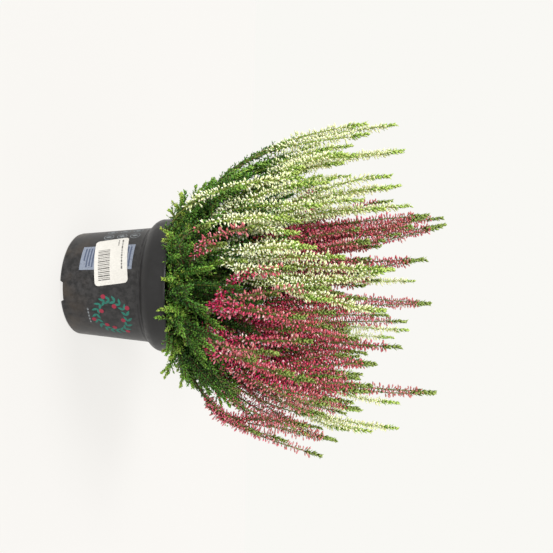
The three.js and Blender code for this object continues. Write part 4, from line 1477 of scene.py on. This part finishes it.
# %% Crumbs scattered on its top
# half the width, and the height, of each crumb in mm
crumb_sizes = ((1.3, 0.9), (1.9, 1.1), (0.8, 0.6))
crumb_box = bpy.data.collections.new("crumbs")
for number, (wide, tall) in enumerate(crumb_sizes):
    crumb_rng = np.random.default_rng(7 + number)
    corners = [(0, 0, tall), (0, 0, -tall * 0.5)]
    for k in range(6):
        turn = math.pi / 3 * k
        reach = wide * crumb_rng.uniform(0.7, 1.15)
        corners.append((reach * math.cos(turn), reach * math.sin(turn), tall * crumb_rng.uniform(-0.1, 0.4)))
    faces = [[0, 2 + k, 2 + (k + 1) % 6] for k in range(6)] + [[1, 2 + (k + 1) % 6, 2 + k] for k in range(6)]
    small_shape(f"crumb_{number}", corners, faces, [0.5] * 8, crumb_box)

crumbs, given = new_tree("crumbs_on_soil", {
    "Shapes": "NodeSocketCollection", "Density": "NodeSocketFloat", "Top": "NodeSocketFloat",
    "Seed": "NodeSocketInt", "Material": "NodeSocketMaterial"})
where = add(crumbs, "GeometryNodeInputPosition").outputs[0]
level = add(crumbs, "ShaderNodeSeparateXYZ", {0: where}).outputs["Z"]
is_top = add(crumbs, "FunctionNodeCompare", {
    0: level, 1: given["Top"]}, data_type="FLOAT", operation="GREATER_THAN")
scattered = add(crumbs, "GeometryNodeDistributePointsOnFaces", {
    "Mesh": given["Geometry"], "Selection": is_top.outputs[0], "Density": given["Density"],
    "Seed": given["Seed"]})
shapes = add(crumbs, "GeometryNodeCollectionInfo", {0: given["Shapes"], 1: True, 2: True})
any_turn = add(crumbs, "FunctionNodeRandomValue", {2: 0.0, 3: 2 * math.pi, "Seed": 1}, data_type="FLOAT")
any_size = add(crumbs, "FunctionNodeRandomValue", {2: 0.6, 3: 1.5, "Seed": 2}, data_type="FLOAT")
any_crumb = add(crumbs, "FunctionNodeRandomValue", {4: 0, 5: 5, "Seed": 3}, data_type="INT")
turned_round = add(crumbs, "FunctionNodeAxisAngleToRotation", {
    "Axis": (0, 0, 1), "Angle": any_turn.outputs[1]})
lying = add(crumbs, "FunctionNodeRotateRotation", {
    0: scattered.outputs["Rotation"], 1: turned_round.outputs[0]}, rotation_space="LOCAL")
placed = add(crumbs, "GeometryNodeInstanceOnPoints", {
    "Points": scattered.outputs["Points"], "Instance": shapes.outputs[0], "Pick Instance": True,
    "Instance Index": any_crumb.outputs[2], "Rotation": lying.outputs[0], "Scale": any_size.outputs[1]})
both = add(crumbs, "GeometryNodeJoinGeometry", {0: given["Geometry"]})
crumbs.links.new(placed.outputs[0], both.inputs[0])
end_tree(crumbs, both.outputs[0], given["Material"])

crumbs_per_square_metre, crumb_floor = 90000.0, 77.9 * MM
soil = grown("compost", crumbs, soil, {
    "Shapes": crumb_box, "Density": crumbs_per_square_metre, "Top": crumb_floor, "Seed": 3,
    "Material": peat})
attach(soil, "root")
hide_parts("soil")
print("soil with crumbs, triangles:", triangles(soil))

# %% [markdown]
# ## Floor, light and camera
#
# A high-key product picture: a pale light table of opal acrylic, a pale surround, and soft light from all
# sides, with one wide lamp above and one in front, both a little to the left for form. The table glows a
# little, so shadows on it stay faint, and the surround that the camera sees is as bright as the table, so
# no horizon shows. The view transform is the plain one, since a filmic curve would grey the white and
# wash out the crimson. The camera stands close, at plant height, and is rolled by a quarter turn, so the
# plant's top points to the right of the picture.

# %% Floor and light
floor_stuff, tree, shader = new_material("opal_acrylic_light_table", roughness=1.0, specular_ior_level=0.0)
shader.inputs["Base Color"].default_value = linear("#61605f")
shader.inputs["Emission Color"].default_value = linear("#fdfbf7")
shader.inputs["Emission Strength"].default_value = 0.795
floor_half = 4
floor_corners = [(x * floor_half, y * floor_half, 0) for x, y in ((-1, -1), (1, -1), (1, 1), (-1, 1))]
floor = plain_object("floor", floor_corners, [[0, 1, 2, 3]], smooth=False)
floor.data.materials.append(floor_stuff)

world = bpy.data.worlds.new("studio")
bpy.context.scene.world = world
world.use_nodes = True
seen_surround = world.node_tree.nodes["Background"]
seen_surround.inputs["Color"].default_value = linear("#f9f8f4")
seen_surround.inputs["Strength"].default_value = 1.0
light_surround = add(world.node_tree, "ShaderNodeBackground", {"Color": linear("#fbfaf8"), "Strength": 0.64})
rays = add(world.node_tree, "ShaderNodeLightPath")
either = add(world.node_tree, "ShaderNodeMixShader", {
    0: rays.outputs["Is Camera Ray"], 1: light_surround.outputs[0], 2: seen_surround.outputs[0]})
world.node_tree.links.new(either.outputs[0], world.node_tree.nodes["World Output"].inputs["Surface"])


def soft_sun(name, from_mm, strength, spread):
    """A lamp so far away and so wide, in degrees, that it lights the whole floor evenly."""
    light = bpy.data.lights.new(name, "SUN")
    light.energy, light.angle = strength, math.radians(spread)
    made = bpy.data.objects.new(name, light)
    made.rotation_euler = (-Vector(from_mm)).to_track_quat("-Z", "Y").to_euler()
    bpy.context.scene.collection.objects.link(made)


soft_sun("overhead_softbox", (-500, -500, 1200), 2.25, 28)
soft_sun("front_softbox", (-250, -1000, 420), 2.1, 16)
bpy.context.scene.view_settings.view_transform = "Standard"

# %% Camera
camera_place = (-9.8, -390, 163.9)
pitch, roll = math.radians(1.40), math.radians(-1.18)
look = Vector((0, math.cos(pitch), math.sin(pitch)))
level_right, level_up = Vector((1, 0, 0)), Vector((0, -math.sin(pitch), math.cos(pitch)))
plant_right = math.cos(roll) * level_right - math.sin(roll) * level_up
plant_up = math.sin(roll) * level_right + math.cos(roll) * level_up
camera = bpy.data.objects.new("camera", bpy.data.cameras.new("camera"))
camera.data.lens, camera.data.sensor_width = 28.0, 36.0
camera.data.clip_start = 0.01
turned_view = Matrix((plant_up, -plant_right, -look)).transposed().to_4x4()
camera.matrix_world = Matrix.Translation(Vector(camera_place) * MM) @ turned_view
bpy.context.scene.collection.objects.link(camera)
bpy.context.scene.camera = camera
print("camera at", [round(c / MM, 1) for c in camera.location])
